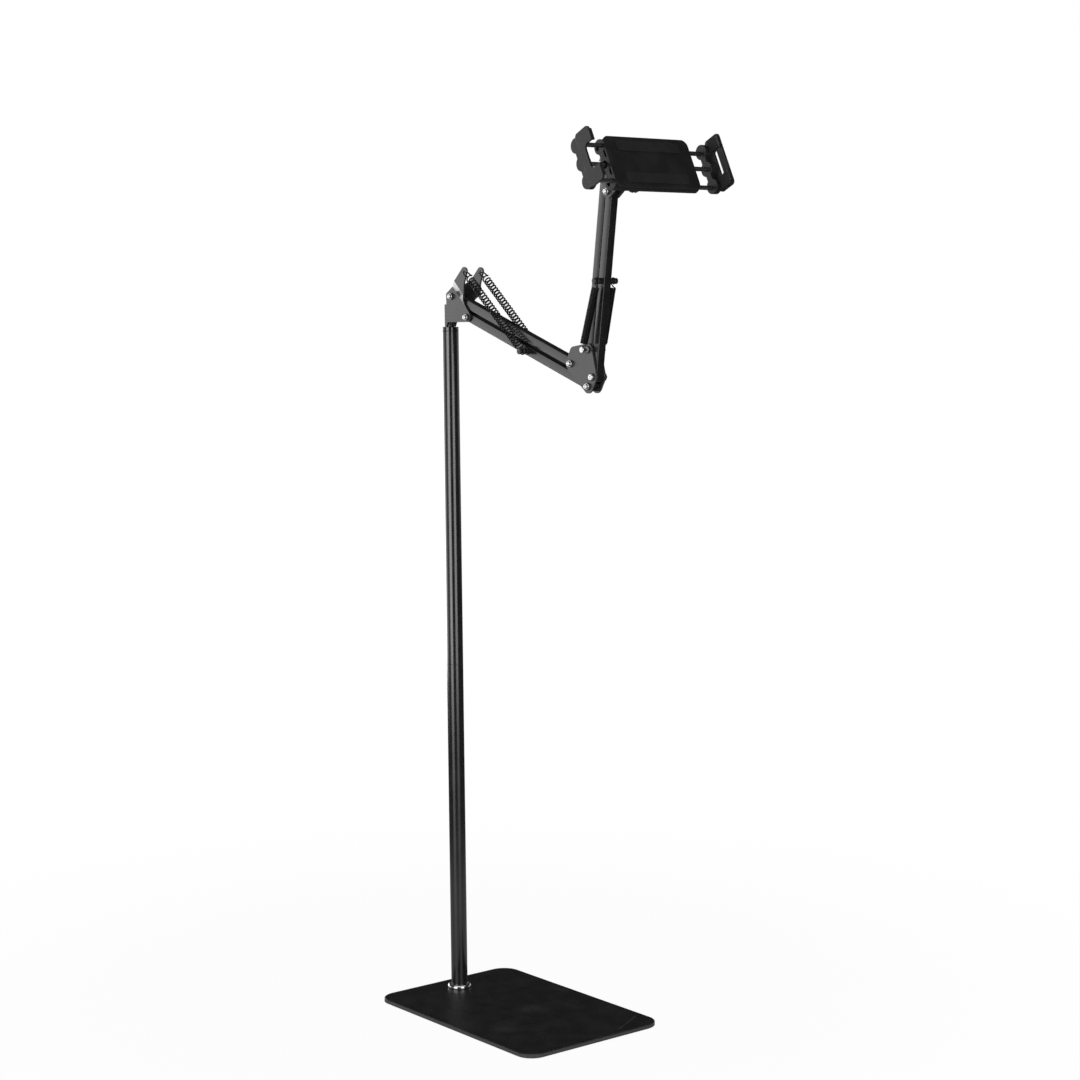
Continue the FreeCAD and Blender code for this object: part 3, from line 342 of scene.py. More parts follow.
def band(graph, angle, limits, soft=3.0):
    """1 between two angles, with ends that are a few degrees soft."""
    low, high = limits
    rise = graph.ramp(angle, low - soft, low + soft)
    return graph.math("MULTIPLY", rise, graph.ramp(angle, high - soft, high + soft, 1.0, 0.0))


def scaled_sum(graph, base, *terms):
    """A base value plus each (mask, strength) pair."""
    total = base
    for mask, strength in terms:
        total = graph.math("ADD", total, graph.math("MULTIPLY", mask, strength))
    return total


def make_world():
    """White behind the stand. Gloss shows a white, a dim and a grey wall, a window and a ceiling."""
    world = bpy.data.worlds.new("studio")
    bpy.context.scene.world = world
    world.use_nodes = True
    world.node_tree.nodes.clear()
    graph = Graph(world.node_tree)
    way = graph.node("ShaderNodeTexCoord").outputs["Generated"]
    angle = angle_round(graph, way)
    height = graph.dot(way, UP)
    low = graph.ramp(height, *WALL_HEAD, 1.0, 0.0)
    ceiling = graph.ramp(height, *CEILING_FOOT)
    white = graph.math("MULTIPLY", band(graph, angle, WHITE_WALL), low)
    dim = graph.math("MULTIPLY", band(graph, angle, DIM_WALL), low)
    standing = graph.math("MULTIPLY", low, graph.ramp(height, *GREY_FOOT))
    pale = graph.math("MULTIPLY", band(graph, angle, GREY_WALL), standing)
    below = graph.ramp(height, *WINDOW_HEAD, 1.0, 0.0)
    above = graph.math("MULTIPLY", below, graph.ramp(height, *WINDOW_FOOT))
    window = graph.math("MULTIPLY", band(graph, angle, WINDOW), above)
    glow = scaled_sum(graph, ROOM_GLOW, (white, WALL_GLOW), (window, WINDOW_GLOW), (dim, DIM_GLOW),
                      (pale, GREY_GLOW), (ceiling, CEILING_GLOW))
    straight, path = seen_straight(graph)
    shown = graph.mix(straight, glow, grey(1.0))
    seen = graph.math("MAXIMUM", straight, path.outputs["Is Glossy Ray"])
    colour = graph.mix(seen, grey(AMBIENT), shown)
    light = graph.node("ShaderNodeBackground")
    graph.link(colour, light.inputs["Color"])
    out = graph.node("ShaderNodeOutputWorld")
    graph.link(light.outputs[0], out.inputs["Surface"])


def soft_box(name, limits, glow):
    """An upright area lamp between two angles, facing the stand, with a given brightness."""
    middle_angle, half_angle = math.radians(sum(limits) / 2), math.radians((limits[1] - limits[0]) / 2)
    side = CAMERA_SIDE * math.cos(middle_angle) + RIGHTWARD * math.sin(middle_angle)
    width = 2 * BOX_DISTANCE * math.tan(half_angle)
    data = bpy.data.lights.new(name, "AREA")
    data.shape = "RECTANGLE"
    data.size = width
    data.size_y = BOX_HEIGHT
    data.energy = glow * math.pi * width * BOX_HEIGHT
    lamp = bpy.data.objects.new(name, data)
    lamp.location = side * BOX_DISTANCE + Vector((0, 0, BOX_HEIGHT / 2))
    lamp.rotation_euler = side.to_track_quat("Z", "Y").to_euler()
    bpy.context.scene.collection.objects.link(lamp)


def blend_shaders(graph, factor, first, second):
    """One shader where a factor is 0 and another where it is 1."""
    made = graph.node("ShaderNodeMixShader")
    graph.link(factor, made.inputs[0])
    graph.link(first.outputs[0], made.inputs[1])
    graph.link(second.outputs[0], made.inputs[2])
    return made


def floor_white():
    """White that fades into the white behind it. Gloss shows it dim, with the boxes' pools of light."""
    material = bpy.data.materials.new("floor_white")
    material.use_nodes = True
    material.node_tree.nodes.clear()
    graph = Graph(material.node_tree)
    place = graph.node("ShaderNodeNewGeometry").outputs["Position"]
    length = graph.node("ShaderNodeVectorMath", operation="LENGTH")
    graph.link(place, length.inputs[0])
    away = length.outputs["Value"]
    straight, path = seen_straight(graph)
    kept = graph.ramp(away, *SHADOW_REACH, 1.0 - FLOOR_SHADOW, 1.0)
    matt = graph.node("ShaderNodeBsdfDiffuse")
    dark, light = (grey(shade) for shade in FLOOR_SHADES)
    graph.link(graph.mix(graph.noise(place, FLOOR_GRAIN), dark, light), matt.inputs["Color"])
    white = graph.node("ShaderNodeEmission")
    plain = blend_shaders(graph, graph.math("MULTIPLY", straight, kept), matt, white)
    angle = angle_round(graph, place)
    pools = scaled_sum(graph, 0.0, (band(graph, angle, LEFT_BOX), LEFT_POOL),
                       (band(graph, angle, RIGHT_BOX), RIGHT_POOL))
    near = graph.ramp(away, *NEAR_REACH, 1.0, 0.0)
    dim = scaled_sum(graph, FLOOR_GLOW, (near, NEAR_GLOW), (graph.math("MULTIPLY", pools, away), 1.0))
    gloss = graph.node("ShaderNodeEmission")
    graph.link(dim, gloss.inputs["Strength"])
    both = blend_shaders(graph, path.outputs["Is Glossy Ray"], plain, gloss)
    out = graph.node("ShaderNodeOutputMaterial")
    graph.link(both.outputs[0], out.inputs["Surface"])
    return material


def make_floor():
    """A plain disc just under the stand."""
    mesh = bpy.data.meshes.new("floor")
    shape = bmesh.new()
    bmesh.ops.create_circle(shape, cap_ends=True, segments=FLOOR_SIDES, radius=FLOOR_RADIUS)
    shape.to_mesh(mesh)
    shape.free()
    mesh.materials.append(floor_white())
    floor = bpy.data.objects.new("floor", mesh)
    floor.location.z = -FLOOR_DROP
    bpy.context.scene.collection.objects.link(floor)


make_world()
make_floor()
soft_box("left_box", LEFT_BOX, LEFT_GLOW)
soft_box("right_box", RIGHT_BOX, RIGHT_GLOW)


# Paints and mouldings: greys of two shades and of the edges, paler as partly wear and partly painted highlight,
# roughness and its spread, and the skin's grain, as a texture's scale, and depth
PAINTS = {
    "base_paint": dict(greys=(0.008, 0.012, 0.2), rough=(0.4, 0.04), grain=2600.0, depth=0.012 * MM,
                       specular=0.45, edge_radius=0.5 * MM),
    "pole_paint": dict(greys=(0.010, 0.014, 0.04), rough=(0.17, 0.02), grain=1800.0, depth=0.0008 * MM,
                       specular=1.0),
    "collar_black": dict(greys=(0.008, 0.011, 0.05), rough=(0.07, 0.01), grain=900.0, depth=0.001 * MM,
                         specular=1.0),
    "bracket_paint": dict(greys=(0.028, 0.036, 0.16), rough=(0.25, 0.02), grain=2400.0, depth=0.003 * MM,
                          specular=0.65),
    "bar_paint": dict(greys=(0.008, 0.012, 0.06), rough=(0.23, 0.02), grain=2200.0, depth=0.003 * MM,
                      specular=0.7),
    "black_steel": dict(greys=(0.010, 0.02, 0.09), rough=(0.3, 0.05), grain=1500.0, depth=0.008 * MM),
    "spring_steel": dict(greys=(0.004, 0.006, 0.02), rough=(0.3, 0.05), grain=3000.0, depth=0.002 * MM,
                         specular=0.35, edge_radius=0.1 * MM),
    "clamp_plastic": dict(greys=(0.009, 0.014, 0.05), rough=(0.47, 0.04), grain=3200.0, depth=0.012 * MM,
                          specular=0.4),
    "rubber": dict(greys=(0.009, 0.014, 0.03), rough=(0.78, 0.05), grain=4200.0, depth=0.02 * MM,
                   specular=0.35),
}
METALS = {
    "chrome": dict(colour=grey(0.78, 0.01), streak=grey(0.7), rough=(0.06, 0.02), grain=700.0),
    "zinc": dict(colour=grey(0.72, 0.01), streak=grey(0.55), rough=(0.22, 0.06), grain=2400.0),
    "ball_steel": dict(colour=grey(0.55), streak=grey(0.45), rough=(0.2, 0.05), grain=1500.0),
}
CLOUD_SCALE = 45.0
WEAR_AND_SHEEN_SCALE = 160.0
SHADE_CLOUDS = (0.35, 0.65)  # clouds fade from one value of a noise to the other
ROUGH_CLOUDS = (0.3, 0.7)
WEAR_AND_SHEEN_CLOUDS = (0.3, 0.6)
LEAST_WEAR_AND_SHEEN = 0.35
BEVEL_SAMPLES = 6
EDGE_TURN = (0.995, 0.9)  # cosines between the plain and the softened normal, from plain face to an edge's full painted highlight and wear
METAL_EDGE = 0.25 * MM
METAL_STRETCH = (1.0, 0.25, 1.0)


def new_material(name):
    """A material with Blender's own shader in it."""
    material = bpy.data.materials.new(name)
    material.use_nodes = True
    return material


def opened(material):
    """A material's graph, its shader and the piece's own coordinates."""
    graph = Graph(material.node_tree)
    shader = material.node_tree.nodes["Principled BSDF"]
    return graph, shader, graph.node("ShaderNodeTexCoord").outputs["Object"]


def soft_normal(graph, radius):
    """A normal that turns smoothly over edges."""
    soft = graph.node("ShaderNodeBevel", samples=BEVEL_SAMPLES)
    soft.inputs["Radius"].default_value = radius
    return soft.outputs[0]


def spread_roughness(graph, shader, noise, rough):
    """A roughness that changes a little from place to place."""
    middle_rough, spread = rough
    made = graph.ramp(noise, *ROUGH_CLOUDS, middle_rough - spread, middle_rough + spread)
    graph.link(made, shader.inputs["Roughness"])


def paint(name, greys, rough, grain, depth, specular=0.5, edge_radius=0.45 * MM):
    """Paint or moulding: two close shades in clouds, paler edges as partly wear and partly painted highlight, and
    a fine skin with its own bump.
    """
    material = new_material(name)
    graph, shader, place = opened(material)
    dark, light, edge = (grey(value) for value in greys)
    clouds = graph.noise(place, CLOUD_SCALE)
    normal = soft_normal(graph, edge_radius)
    same = graph.dot(normal, graph.node("ShaderNodeNewGeometry").outputs["Normal"])
    # The paler edge grey is partly wear and partly a painted highlight along the edges, broken into patches
    patches = graph.ramp(graph.noise(place, WEAR_AND_SHEEN_SCALE), *WEAR_AND_SHEEN_CLOUDS, LEAST_WEAR_AND_SHEEN, 1.0)
    edge_sheen_and_wear = graph.math("MULTIPLY", graph.ramp(same, *EDGE_TURN), patches)
    shade = graph.mix(graph.ramp(clouds, *SHADE_CLOUDS), dark, light)
    graph.link(graph.mix(edge_sheen_and_wear, shade, edge), shader.inputs["Base Color"])
    spread_roughness(graph, shader, clouds, rough)
    shader.inputs["Specular IOR Level"].default_value = specular
    bump = graph.node("ShaderNodeBump")
    bump.inputs["Strength"].default_value = 1.0
    bump.inputs["Distance"].default_value = depth
    graph.link(graph.noise(place, grain, detail=2.0), bump.inputs["Height"])
    graph.link(normal, bump.inputs["Normal"])
    graph.link(bump.outputs[0], shader.inputs["Normal"])
    return material


def metal(name, colour, streak, rough, grain):
    """Bare or plated metal with fine turning marks."""
    material = new_material(name)
    graph, shader, place = opened(material)
    marks = graph.noise(place, grain, detail=4.0, stretch=METAL_STRETCH)
    graph.link(graph.mix(marks, colour, streak), shader.inputs["Base Color"])
    spread_roughness(graph, shader, marks, rough)
    shader.inputs["Metallic"].default_value = 1.0
    graph.link(soft_normal(graph, METAL_EDGE), shader.inputs["Normal"])
    return material


# Marks on the base plate, as (x, y, radius, strength) in millimetres, and one faint scratch
SMUDGES = ((130.0, 12.0, 26.0, 0.18), (165.0, -55.0, 30.0, 0.12), (93.0, 88.0, 12.0, 0.2),
           (40.0, -82.0, 1.1, 0.8), (15.0, 36.0, 1.0, 0.7), (206.0, -18.0, 0.8, 0.5),
           (88.0, -64.0, 0.7, 0.6))
SCRATCH = (Vector((257.8, 37.3, 0.0)) * MM, Vector((228.7, 91.8, 0.0)) * MM)
SCRATCH_WIDTH = 0.8 * MM
SCRATCH_FADE = 8.0 * SCRATCH_WIDTH
SCRATCH_STRENGTH = 0.9
DUST_GREY = 0.16
DUST_SCALE = 70.0
DUST_CLOUDS = (0.3, 0.7)
LEAST_DUST = 0.3
# Painted reflection: the base's sides get this paler grey than the top
SIDE_REFLECTION_GREY = 0.055
SIDE_TURN = (0.3, 0.8)  # the normal's rise, from a side to the flat top


def near_spot(graph, place, centre, radius):
    """1 at a place, fading to 0 at a radius."""
    away = graph.node("ShaderNodeVectorMath", operation="DISTANCE")
    graph.link(place, away.inputs[0])
    away.inputs[1].default_value = centre
    return graph.ramp(away.outputs["Value"], 0.0, radius, 1.0, 0.0)


def near_line(graph, place, start, end):
    """1 along a thin straight line between two places on the plate."""
    along = (end - start).normalized()
    beside = along.cross(UP)
    across = graph.math("SUBTRACT", graph.dot(place, beside), start.dot(beside))
    thin = graph.ramp(graph.math("ABSOLUTE", across), 0.0, SCRATCH_WIDTH, 1.0, 0.0)
    first, last = start.dot(along), end.dot(along)
    rise = graph.ramp(graph.dot(place, along), first, first + SCRATCH_FADE)
    fall = graph.ramp(graph.dot(place, along), last - SCRATCH_FADE, last, 1.0, 0.0)
    return graph.math("MULTIPLY", thin, graph.math("MULTIPLY", rise, fall))


def mark_base(material):
    """Sides paler than the flat top as a painted reflection, and faint dust and rubbed places on the flat top,
    over the base's paint.
    """
    graph, shader, place = opened(material)
    marks = []
    for x, y, size, strength in SMUDGES:
        centre = Vector((x * MM, y * MM, BASE_TOP))
        marks.append((near_spot(graph, place, centre, size * MM), strength))
    marks.append((near_line(graph, place, *SCRATCH), SCRATCH_STRENGTH))
    clouds = graph.ramp(graph.noise(place, DUST_SCALE, detail=5.0), *DUST_CLOUDS, LEAST_DUST, 1.0)
    dust = graph.math("MULTIPLY", scaled_sum(graph, 0.0, *marks), clouds, clamp=True)
    # Painted reflection: faces that turn away from up are made paler
    upward = graph.dot(graph.node("ShaderNodeNewGeometry").outputs["Normal"], UP)
    side = graph.ramp(upward, *SIDE_TURN, 1.0, 0.0)
    painted = shader.inputs["Base Color"].links[0].from_socket
    with_side_reflection = graph.mix(side, painted, grey(SIDE_REFLECTION_GREY))
    graph.link(graph.mix(dust, with_side_reflection, grey(DUST_GREY)), shader.inputs["Base Color"])


def make_materials():
    """Every material slot's finish."""
    made = {name: paint(name, **values) for name, values in PAINTS.items()}
    made.update({name: metal(name, **values) for name, values in METALS.items()})
    mark_base(made["base_paint"])
    return made


MATERIALS = make_materials()
NODE_SLOTS = {part["node"]: part["material_slot"] for part in frame["record"]["subparts"]}
for node_name, node_object in frame["nodes"].items():
    node_object.data.materials.clear()
    node_object.data.materials.append(MATERIALS[NODE_SLOTS[node_name]])

BODY_OF = {node: body for body, nodes in frame["record"]["behaviour"]["bodies"].items() for node in nodes}


def piece(node, word, shape, slot_name=None, rides=True):
    """A finished mesh that stands for a CAD node: on its body, and in its slot unless another is given."""
    slot_name = slot_name or NODE_SLOTS[node]
    made_mesh = bpy.data.meshes.new(f"{node}_{word}")
    bmesh.ops.recalc_face_normals(shape, faces=shape.faces)
    shape.to_mesh(made_mesh)
    shape.free()
    for polygon in made_mesh.polygons:
        polygon.use_smooth = True
    made_mesh.set_sharp_from_angle(angle=SHARP_ANGLE)
    made = bpy.data.objects.new(f"{node}_{word}", made_mesh)
    bpy.context.scene.collection.objects.link(made)
    made_mesh.materials.append(MATERIALS[slot_name])
    if rides:
        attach(made, BODY_OF[node])
    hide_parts(node)
    return made


def eased(outline, radius, steps=4):
    """A turned outline with its corners rounded. The first and last points stay."""
    made = [Vector(outline[0])]
    for before, corner, after in zip(outline, outline[1:], outline[2:]):
        here = Vector(corner)
        back, ahead = Vector(before) - here, Vector(after) - here
        reach = min(radius, EASE_SHARE * back.length, EASE_SHARE * ahead.length)
        first, last = here + back.normalized() * reach, here + ahead.normalized() * reach
        for i in range(steps + 1):
            u = i / steps
            made.append(first.lerp(here, u).lerp(here.lerp(last, u), u))
    return made + [Vector(outline[-1])]


def circle(centre, across, beside, radius, steps):
    """Points spread evenly round a circle."""
    angles = [2 * math.pi * k / steps for k in range(steps)]
    return [centre + (across * math.cos(g) + beside * math.sin(g)) * radius for g in angles]


def skin(shape, rings, caps=False):
    """Faces from ring to ring of a shape's points. A ring of one point closes an end, and so do caps."""
    count = max(len(ring) for ring in rings)
    for low, high in zip(rings, rings[1:]):
        for k in range(count):
            corners = (low[k % len(low)], low[(k + 1) % len(low)],
                       high[(k + 1) % len(high)], high[k % len(high)])
            shape.faces.new(list(dict.fromkeys(corners)))
    if caps:
        shape.faces.new(rings[0][::-1])
        shape.faces.new(rings[-1])


def lathe(shape, outline, place, axis, closed=False):
    """Turn (along, radius) points about an axis through a place. Points on the axis close the ends."""
    across = axis.orthogonal().normalized()
    beside = axis.cross(across)
    rings = []
    for along, radius in outline:
        centre = place + axis * along
        points = circle(centre, across, beside, radius, TURN_STEPS) if radius else [centre]
        rings.append([shape.verts.new(point) for point in points])
    if closed:
        rings.append(rings[0])
    skin(shape, rings)


def turned(outline, place, axis, closed=False):
    """A new shape of one turned solid."""
    shape = bmesh.new()
    lathe(shape, outline, place, axis, closed)
    return shape


def make_stand_pieces():
    """The pole's two sections, its collar and the ring at its foot, turned smooth."""
    inner = POLE_RADIUS - POLE_WALL
    for node in ("lower_pole", "upper_pole"):
        low, high = (corner.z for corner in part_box(node))
        wall = [(low, inner), (low, POLE_RADIUS - SEAM_EDGE), (low + SEAM_EDGE, POLE_RADIUS),
                (high - SEAM_EDGE, POLE_RADIUS), (high, POLE_RADIUS - SEAM_EDGE), (high, inner)]
        piece(node, "tube", turned(wall, ORIGIN, UP, closed=True))
    low, high = (corner.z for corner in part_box("pole_collar"))
    seat = high - COLLAR_HEIGHT
    collar = eased([(low, PIN_BORE), (low, BUSH_RADIUS), (seat, BUSH_RADIUS), (seat, POLE_RADIUS),
                    (high, POLE_RADIUS), (high, PIN_BORE), (low, PIN_BORE)], COLLAR_ROUND)
    piece("pole_collar", "turned", turned(collar[:-1], ORIGIN, UP, closed=True))
    low, high = (corner.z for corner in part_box("base_ring"))
    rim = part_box("base_ring")[1].x
    ring = eased([(low, RING_BORE), (low, rim), (low + RING_RIM, rim), (high, rim - RING_SLOPE),
                  (high, RING_BORE), (low, RING_BORE)], RING_ROUND)
    piece("base_ring", "turned", turned(ring[:-1], ORIGIN, UP, closed=True))


def washer(shape, place, seat, size, bore, axis=LEFT):
    """A flat ring on a seat at a distance along an axis from the middle plane."""
    radius, height = size
    top = seat + height
    ring = eased([(seat, bore), (seat, radius), (top, radius), (top, bore), (seat, bore)], WASHER_ROUND)
    lathe(shape, ring[:-1], place, axis, closed=True)


def screw_tail(end, radius):
    """The first points of a rod's outline: its flat end and its chamfer."""
    return [(end, 0.0), (end, radius * (1 - TAIL_BREAK)), (end + radius * TAIL_BREAK, radius)]


def pan_screw():
    """The outline of a pivot screw with a pan head."""
    radius, height = PAN
    top_radius, slope = PAN_DOME
    rim, floor_radius, depth = PAN_DIMPLE
    top = CHEEK + height
    low = top - depth * height
    outline = screw_tail(-SCREW_TAIL, SHANK)
    outline += [(CHEEK, SHANK), (CHEEK, radius), (top - slope * height, radius), (top, top_radius * radius),
                (top, rim * radius), (low, floor_radius * radius), (low, 0.0)]
    return eased(outline, PAN_ROUND)


def stub_screw():
    """The outline of a pivot screw with a flange on its washer and a stub in front of it."""
    root, tip, height = STUB
    corner, rise = STUB_FOOT
    rim, floor_radius, depth = STUB_DIMPLE
    seat, top = CHEEK + WASHER[1], CHEEK + height
    step, low = seat + FLANGE[1], top - depth
    outline = screw_tail(-SCREW_TAIL, SHANK)
    outline += [(CHEEK, SHANK), (seat, SHANK), (seat, FLANGE[0]), (step, FLANGE[0]), (step, root * corner),
                (step + rise, root), (top, tip), (top, tip * rim), (low, tip * floor_radius), (low, 0.0)]
    return eased(outline, SCREW_ROUND)


def screw_pieces(node, places, pan_places=()):
    """The screws of one node in zinc, the dark washers under the stub heads, and a thin dark ring round each pan
    head as painted shade of the gap round it.
    """
    screws, dark_rings = bmesh.new(), bmesh.new()
    for place in places:
        lathe(screws, stub_screw(), place, LEFT)
        washer(dark_rings, place, CHEEK, WASHER, SHANK)
    for place in pan_places:
        lathe(screws, pan_screw(), place, LEFT)
        # Painted shade: a thin dark ring round the pan head stands in for the shaded gap round it
        washer(dark_rings, place, CHEEK, (WASHER[0], WASHER[1] / 2), PAN[0] + PAN_PLAY)
    piece(node, "turned", screws)
    piece(node, "dark_rings", dark_rings, "black_steel")


def post_pieces(node, radius, neck_radius, seat, base, head, half):
    """A spring post: a rod with a neck and a rounded head at each end, and a base washer on each side."""
    head_radius, head_height = head
    neck, step = half - head_height, seat + base[1]
    rod, bases = bmesh.new(), bmesh.new()
    outline = [(-half, 0.0), (-half, head_radius), (-neck, head_radius), (-neck, neck_radius),
               (-step, neck_radius), (-step, radius), (step, radius), (step, neck_radius),
               (neck, neck_radius), (neck, head_radius), (half, head_radius), (half, 0.0)]
    if neck_radius == radius:
        outline = [point for point in outline if abs(point[0]) != step]
    lathe(rod, eased(outline, POST_ROUND), middle(node), LEFT)
    for axis in (LEFT, -LEFT):
        washer(bases, middle(node), seat, base, radius, axis)
    piece(node, "rod", rod)
    piece(node, "dark_rings", bases, "black_steel")


def upper_pin_piece():
    """The plain pin through the front bar, necked for the hooks."""
    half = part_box("upper_spring_pin")[1].y
    near, far = UPPER_TOP_Y - UPPER_WIRE, UPPER_TOP_Y + UPPER_WIRE
    side = [(0.0, PIN_RADIUS), (near, PIN_RADIUS), (near + PIN_SLOPE, PIN_GROOVE),
            (far - PIN_SLOPE, PIN_GROOVE), (far, PIN_RADIUS), (half, PIN_RADIUS), (half, 0.0)]
    outline = [(-along, radius) for along, radius in side[:0:-1]] + side[1:]
    piece("upper_spring_pin", "turned", turned(eased(outline, PIN_ROUND), UPPER_PIN, LEFT))


def ball_stud_piece():
    """The ball on its slim neck, with the flange on the web and the tail through it."""
    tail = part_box("ball_stud")[0].x - BALL.x
    radius, height = BALL_FLANGE
    step = BALL_SEAT + height
    shank = screw_tail(tail, BALL_NECK)
    shank += [(BALL_SEAT, BALL_NECK), (BALL_SEAT, radius), (step, radius), (step, BALL_NECK),
              (BALL_NECK_END, BALL_NECK)]
    leave = math.pi - math.asin(BALL_NECK / BALL_RADIUS)
    angles = [leave * (1 - i / BALL_STEPS) for i in range(BALL_STEPS)]
    ball = [(BALL_RADIUS * math.cos(g), BALL_RADIUS * math.sin(g)) for g in angles]
    outline = eased(shank + [ball[0]], BALL_ROUND) + ball[1:] + [(BALL_RADIUS, 0.0)]
    piece("ball_stud", "turned", turned(outline, BALL, FRONT))


def rounded_square(half_width, half_height, corner, steps=4):
    """Points round a square section with rounded corners, as (across, up) pairs."""
    ring = []
    for quarter in range(4):
        sx, sy = ((1, 1), (-1, 1), (-1, -1), (1, -1))[quarter]
        cx, cy = sx * (half_width - corner), sy * (half_height - corner)
        for i in range(steps + 1):
            g = math.pi / 2 * (quarter + i / steps)
            ring.append((cx + corner * math.cos(g), cy + corner * math.sin(g)))
    return ring


def bar_piece(node, start, end):
    """A square tube between two pivots: rounded along its edges and at its ends, open at both mouths."""
    run = end - start
    ahead = run.normalized()
    up = ahead.cross(Vector((0, 1, 0)))
    lip = BAR_HALF - BAR_END_ROUND
    mouth = (BAR_HALF - BAR_WALL, lip - BAR_WALL / 2)

    # One end's sections outward, as (distance from the end, half width, half height)
    rounding = []
    for i in range(BAR_END_STEPS + 1):
        g = math.pi / 2 * i / BAR_END_STEPS
        inset, drop = BAR_END_ROUND * (1 - math.sin(g)), BAR_END_ROUND * (1 - math.cos(g))
        rounding.append((inset, BAR_HALF, BAR_HALF - drop))
    sections = rounding + [(0.0, *mouth), (BAR_MOUTH, *mouth)]
    first, last = -BAR_END, run.length + BAR_END
    stations = [(first + inset, width, height) for inset, width, height in sections[::-1]]
    stations += [(last - inset, width, height) for inset, width, height in sections]

    shape = bmesh.new()
    rings = []
    for along, width, height in stations:
        ring = rounded_square(width, height, BAR_CORNER)
        rings.append([shape.verts.new(start + ahead * along + Vector((0, y, 0)) + up * z) for y, z in ring])
    skin(shape, rings, caps=True)
    piece(node, "tube", shape)


def tube(points, radius, sides=8):
    """A round tube through points, closed at both ends."""
    shape = bmesh.new()
    across = (points[1] - points[0]).normalized().orthogonal().normalized()
    rings = []
    for i, point in enumerate(points):
        run = (points[min(i + 1, len(points) - 1)] - points[max(i - 1, 0)]).normalized()
        across = (across - run * across.dot(run)).normalized()
        beside = run.cross(across)
        rings.append([shape.verts.new(place) for place in circle(point, across, beside, radius, sides)])
    skin(shape, rings, caps=True)
    return shape


def hook_points(anchor, inward, side, radius, through, steps=18):
    """An open loop of wire, from its free end to where it heads back inward."""
    centre = anchor + inward * radius if through else anchor
    points = []
    for i in range(steps + 1):
        g = HOOK_TURN * (1 - i / steps)
        points.append(centre + side * (radius * math.cos(g)) - inward * (radius * math.sin(g)))
    return points


def bridge(p0, t0, p1, t1, steps=10, pull=1.2):
    """A smooth curve from one point and direction to another, without its two ends."""
    size = (p1 - p0).length * pull
    points = []
    for i in range(1, steps):
        u = i / steps
        a, b = 2 * u ** 3 - 3 * u ** 2 + 1, u ** 3 - 2 * u ** 2 + u
        c, d = -2 * u ** 3 + 3 * u ** 2, u ** 3 - u ** 2
        points.append(p0 * a + t0 * (b * size) + p1 * c + t1 * (d * size))
    return points


def spring_points(top, bottom, radius, turns, hook_top, hook_bottom, steps=22):
    """One spring's line: hook, coil and hook. A hook is (radius, True where it goes through a plate)."""
    along = (bottom - top).normalized()
    across = Vector((0, 1, 0)).cross(along).normalized()
    beside = along.cross(across)

    def reach(hook):
        return 2 * hook[0] + EAR_LEAD if hook[1] else hook[0] + HOOK_LEAD

    def phase(hook):
        return math.pi if hook[1] else math.pi / 2

    start, end = reach(hook_top), (bottom - top).length - reach(hook_bottom)
    first_angle = phase(hook_top)
    winding_angle = 2 * math.pi * turns + phase(hook_bottom) - phase(hook_top)
    rise = (end - start) / winding_angle

    def coil(angle):
        round_turn = across * math.cos(angle) + beside * math.sin(angle)
        place = top + along * (start + rise * (angle - first_angle)) + round_turn * radius
        heading = (beside * math.cos(angle) - across * math.sin(angle)) * radius + along * rise
        return place, heading.normalized()

    first = hook_points(top, along, beside if hook_top[1] else across, *hook_top)
    last = hook_points(bottom, -along, beside if hook_bottom[1] else across, *hook_bottom)[::-1]
    count = round(steps * winding_angle / (2 * math.pi))
    winding = [coil(first_angle + winding_angle * i / count) for i in range(count + 1)]
    points = first + bridge(first[-1], along, *winding[0]) + [place for place, heading in winding]
    return points + bridge(*winding[-1], last[0], along) + last


def spring_piece(node, wire, points):
    """One spring as a round wire, fixed in the world's frame on no body."""
    made = piece(node, "wire", tube(points, wire / 2), rides=False)
    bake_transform(made)


def hook_round(radius, wire):
    """A hook's radius on a round rod."""
    return radius + wire / 2 + HOOK_PLAY


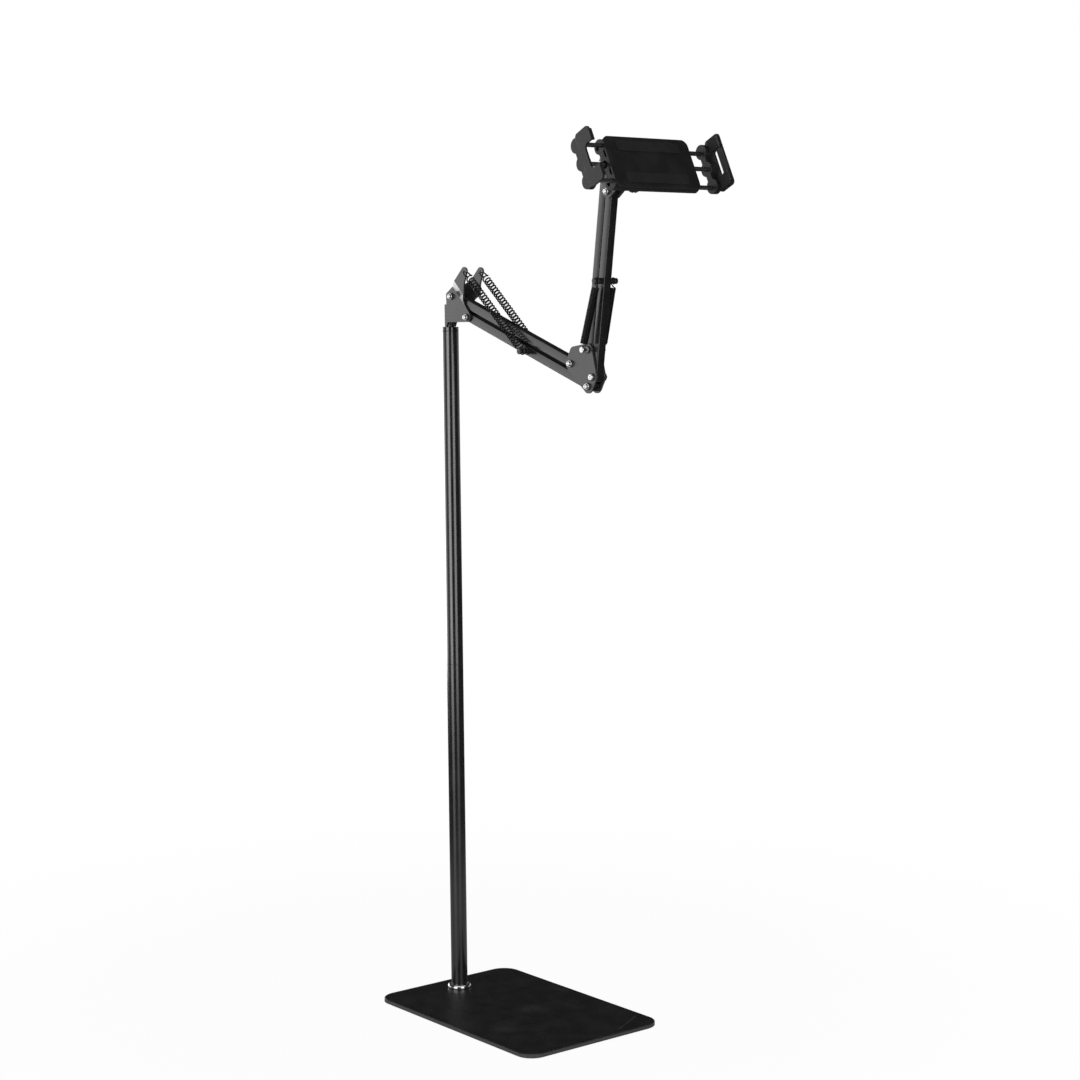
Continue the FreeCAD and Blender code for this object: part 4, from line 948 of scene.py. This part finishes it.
def make_springs():
    """The four springs: two from the ears to the lower post, two from the upper pin to the elbow post."""
    for sign, word in ((-1, "left"), (1, "right")):
        side = Vector((0, sign * LOWER_SPRING_Y, 0))
        lower = spring_points(EAR_HOLE + side, LOWER_POST + side, LOWER_COIL, LOWER_TURNS,
                              (EAR_HOOK, True), (hook_round(LOWER_POST_RADIUS, LOWER_WIRE), False))
        spring_piece(f"lower_spring_{word}",
                     LOWER_WIRE, lower)
        top, foot = Vector((0, sign * UPPER_TOP_Y, 0)), Vector((0, sign * UPPER_FOOT_Y, 0))
        upper = spring_points(UPPER_PIN + top, REAR_LOW + foot, UPPER_COIL, UPPER_TURNS,
                              (hook_round(PIN_GROOVE, UPPER_WIRE), False),
                              (hook_round(ELBOW_NECK, UPPER_WIRE), False))
        spring_piece(f"upper_spring_{word}",
                     UPPER_WIRE, upper)


def make_screws():
    """The pivot screws. The front bar's at the elbow has a pan head."""
    screw_pieces("shoulder_screws", (SHOULDER_LOW, SHOULDER_HIGH))
    screw_pieces("elbow_screws", (ELBOW_LOW, ELBOW_HIGH), (FRONT_LOW,))
    screw_pieces("head_screws", (FRONT_HIGH, REAR_HIGH))


def make_posts():
    """The two spring posts and the plain pin."""
    lower_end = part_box("lower_spring_post")[1].y
    post_pieces("lower_spring_post", LOWER_POST_RADIUS, LOWER_POST_RADIUS, BAR_HALF, POST_BASE, POST_HEAD,
                lower_end)
    post_pieces("elbow_spring_post", ELBOW_POST_RADIUS, ELBOW_NECK, CHEEK, ELBOW_BASE, ELBOW_HEAD, ELBOW_END)
    upper_pin_piece()


def make_bars():
    """The square bars of both parallelograms."""
    bar_piece("lower_arm_lower_bar", SHOULDER_LOW, ELBOW_LOW)
    bar_piece("lower_arm_upper_bar", SHOULDER_HIGH, ELBOW_HIGH)
    bar_piece("upper_arm_front_bar", FRONT_LOW, FRONT_HIGH)
    bar_piece("upper_arm_rear_bar", REAR_LOW, REAR_HIGH)


make_springs()
make_stand_pieces()
make_screws()
make_posts()
ball_stud_piece()
make_bars()
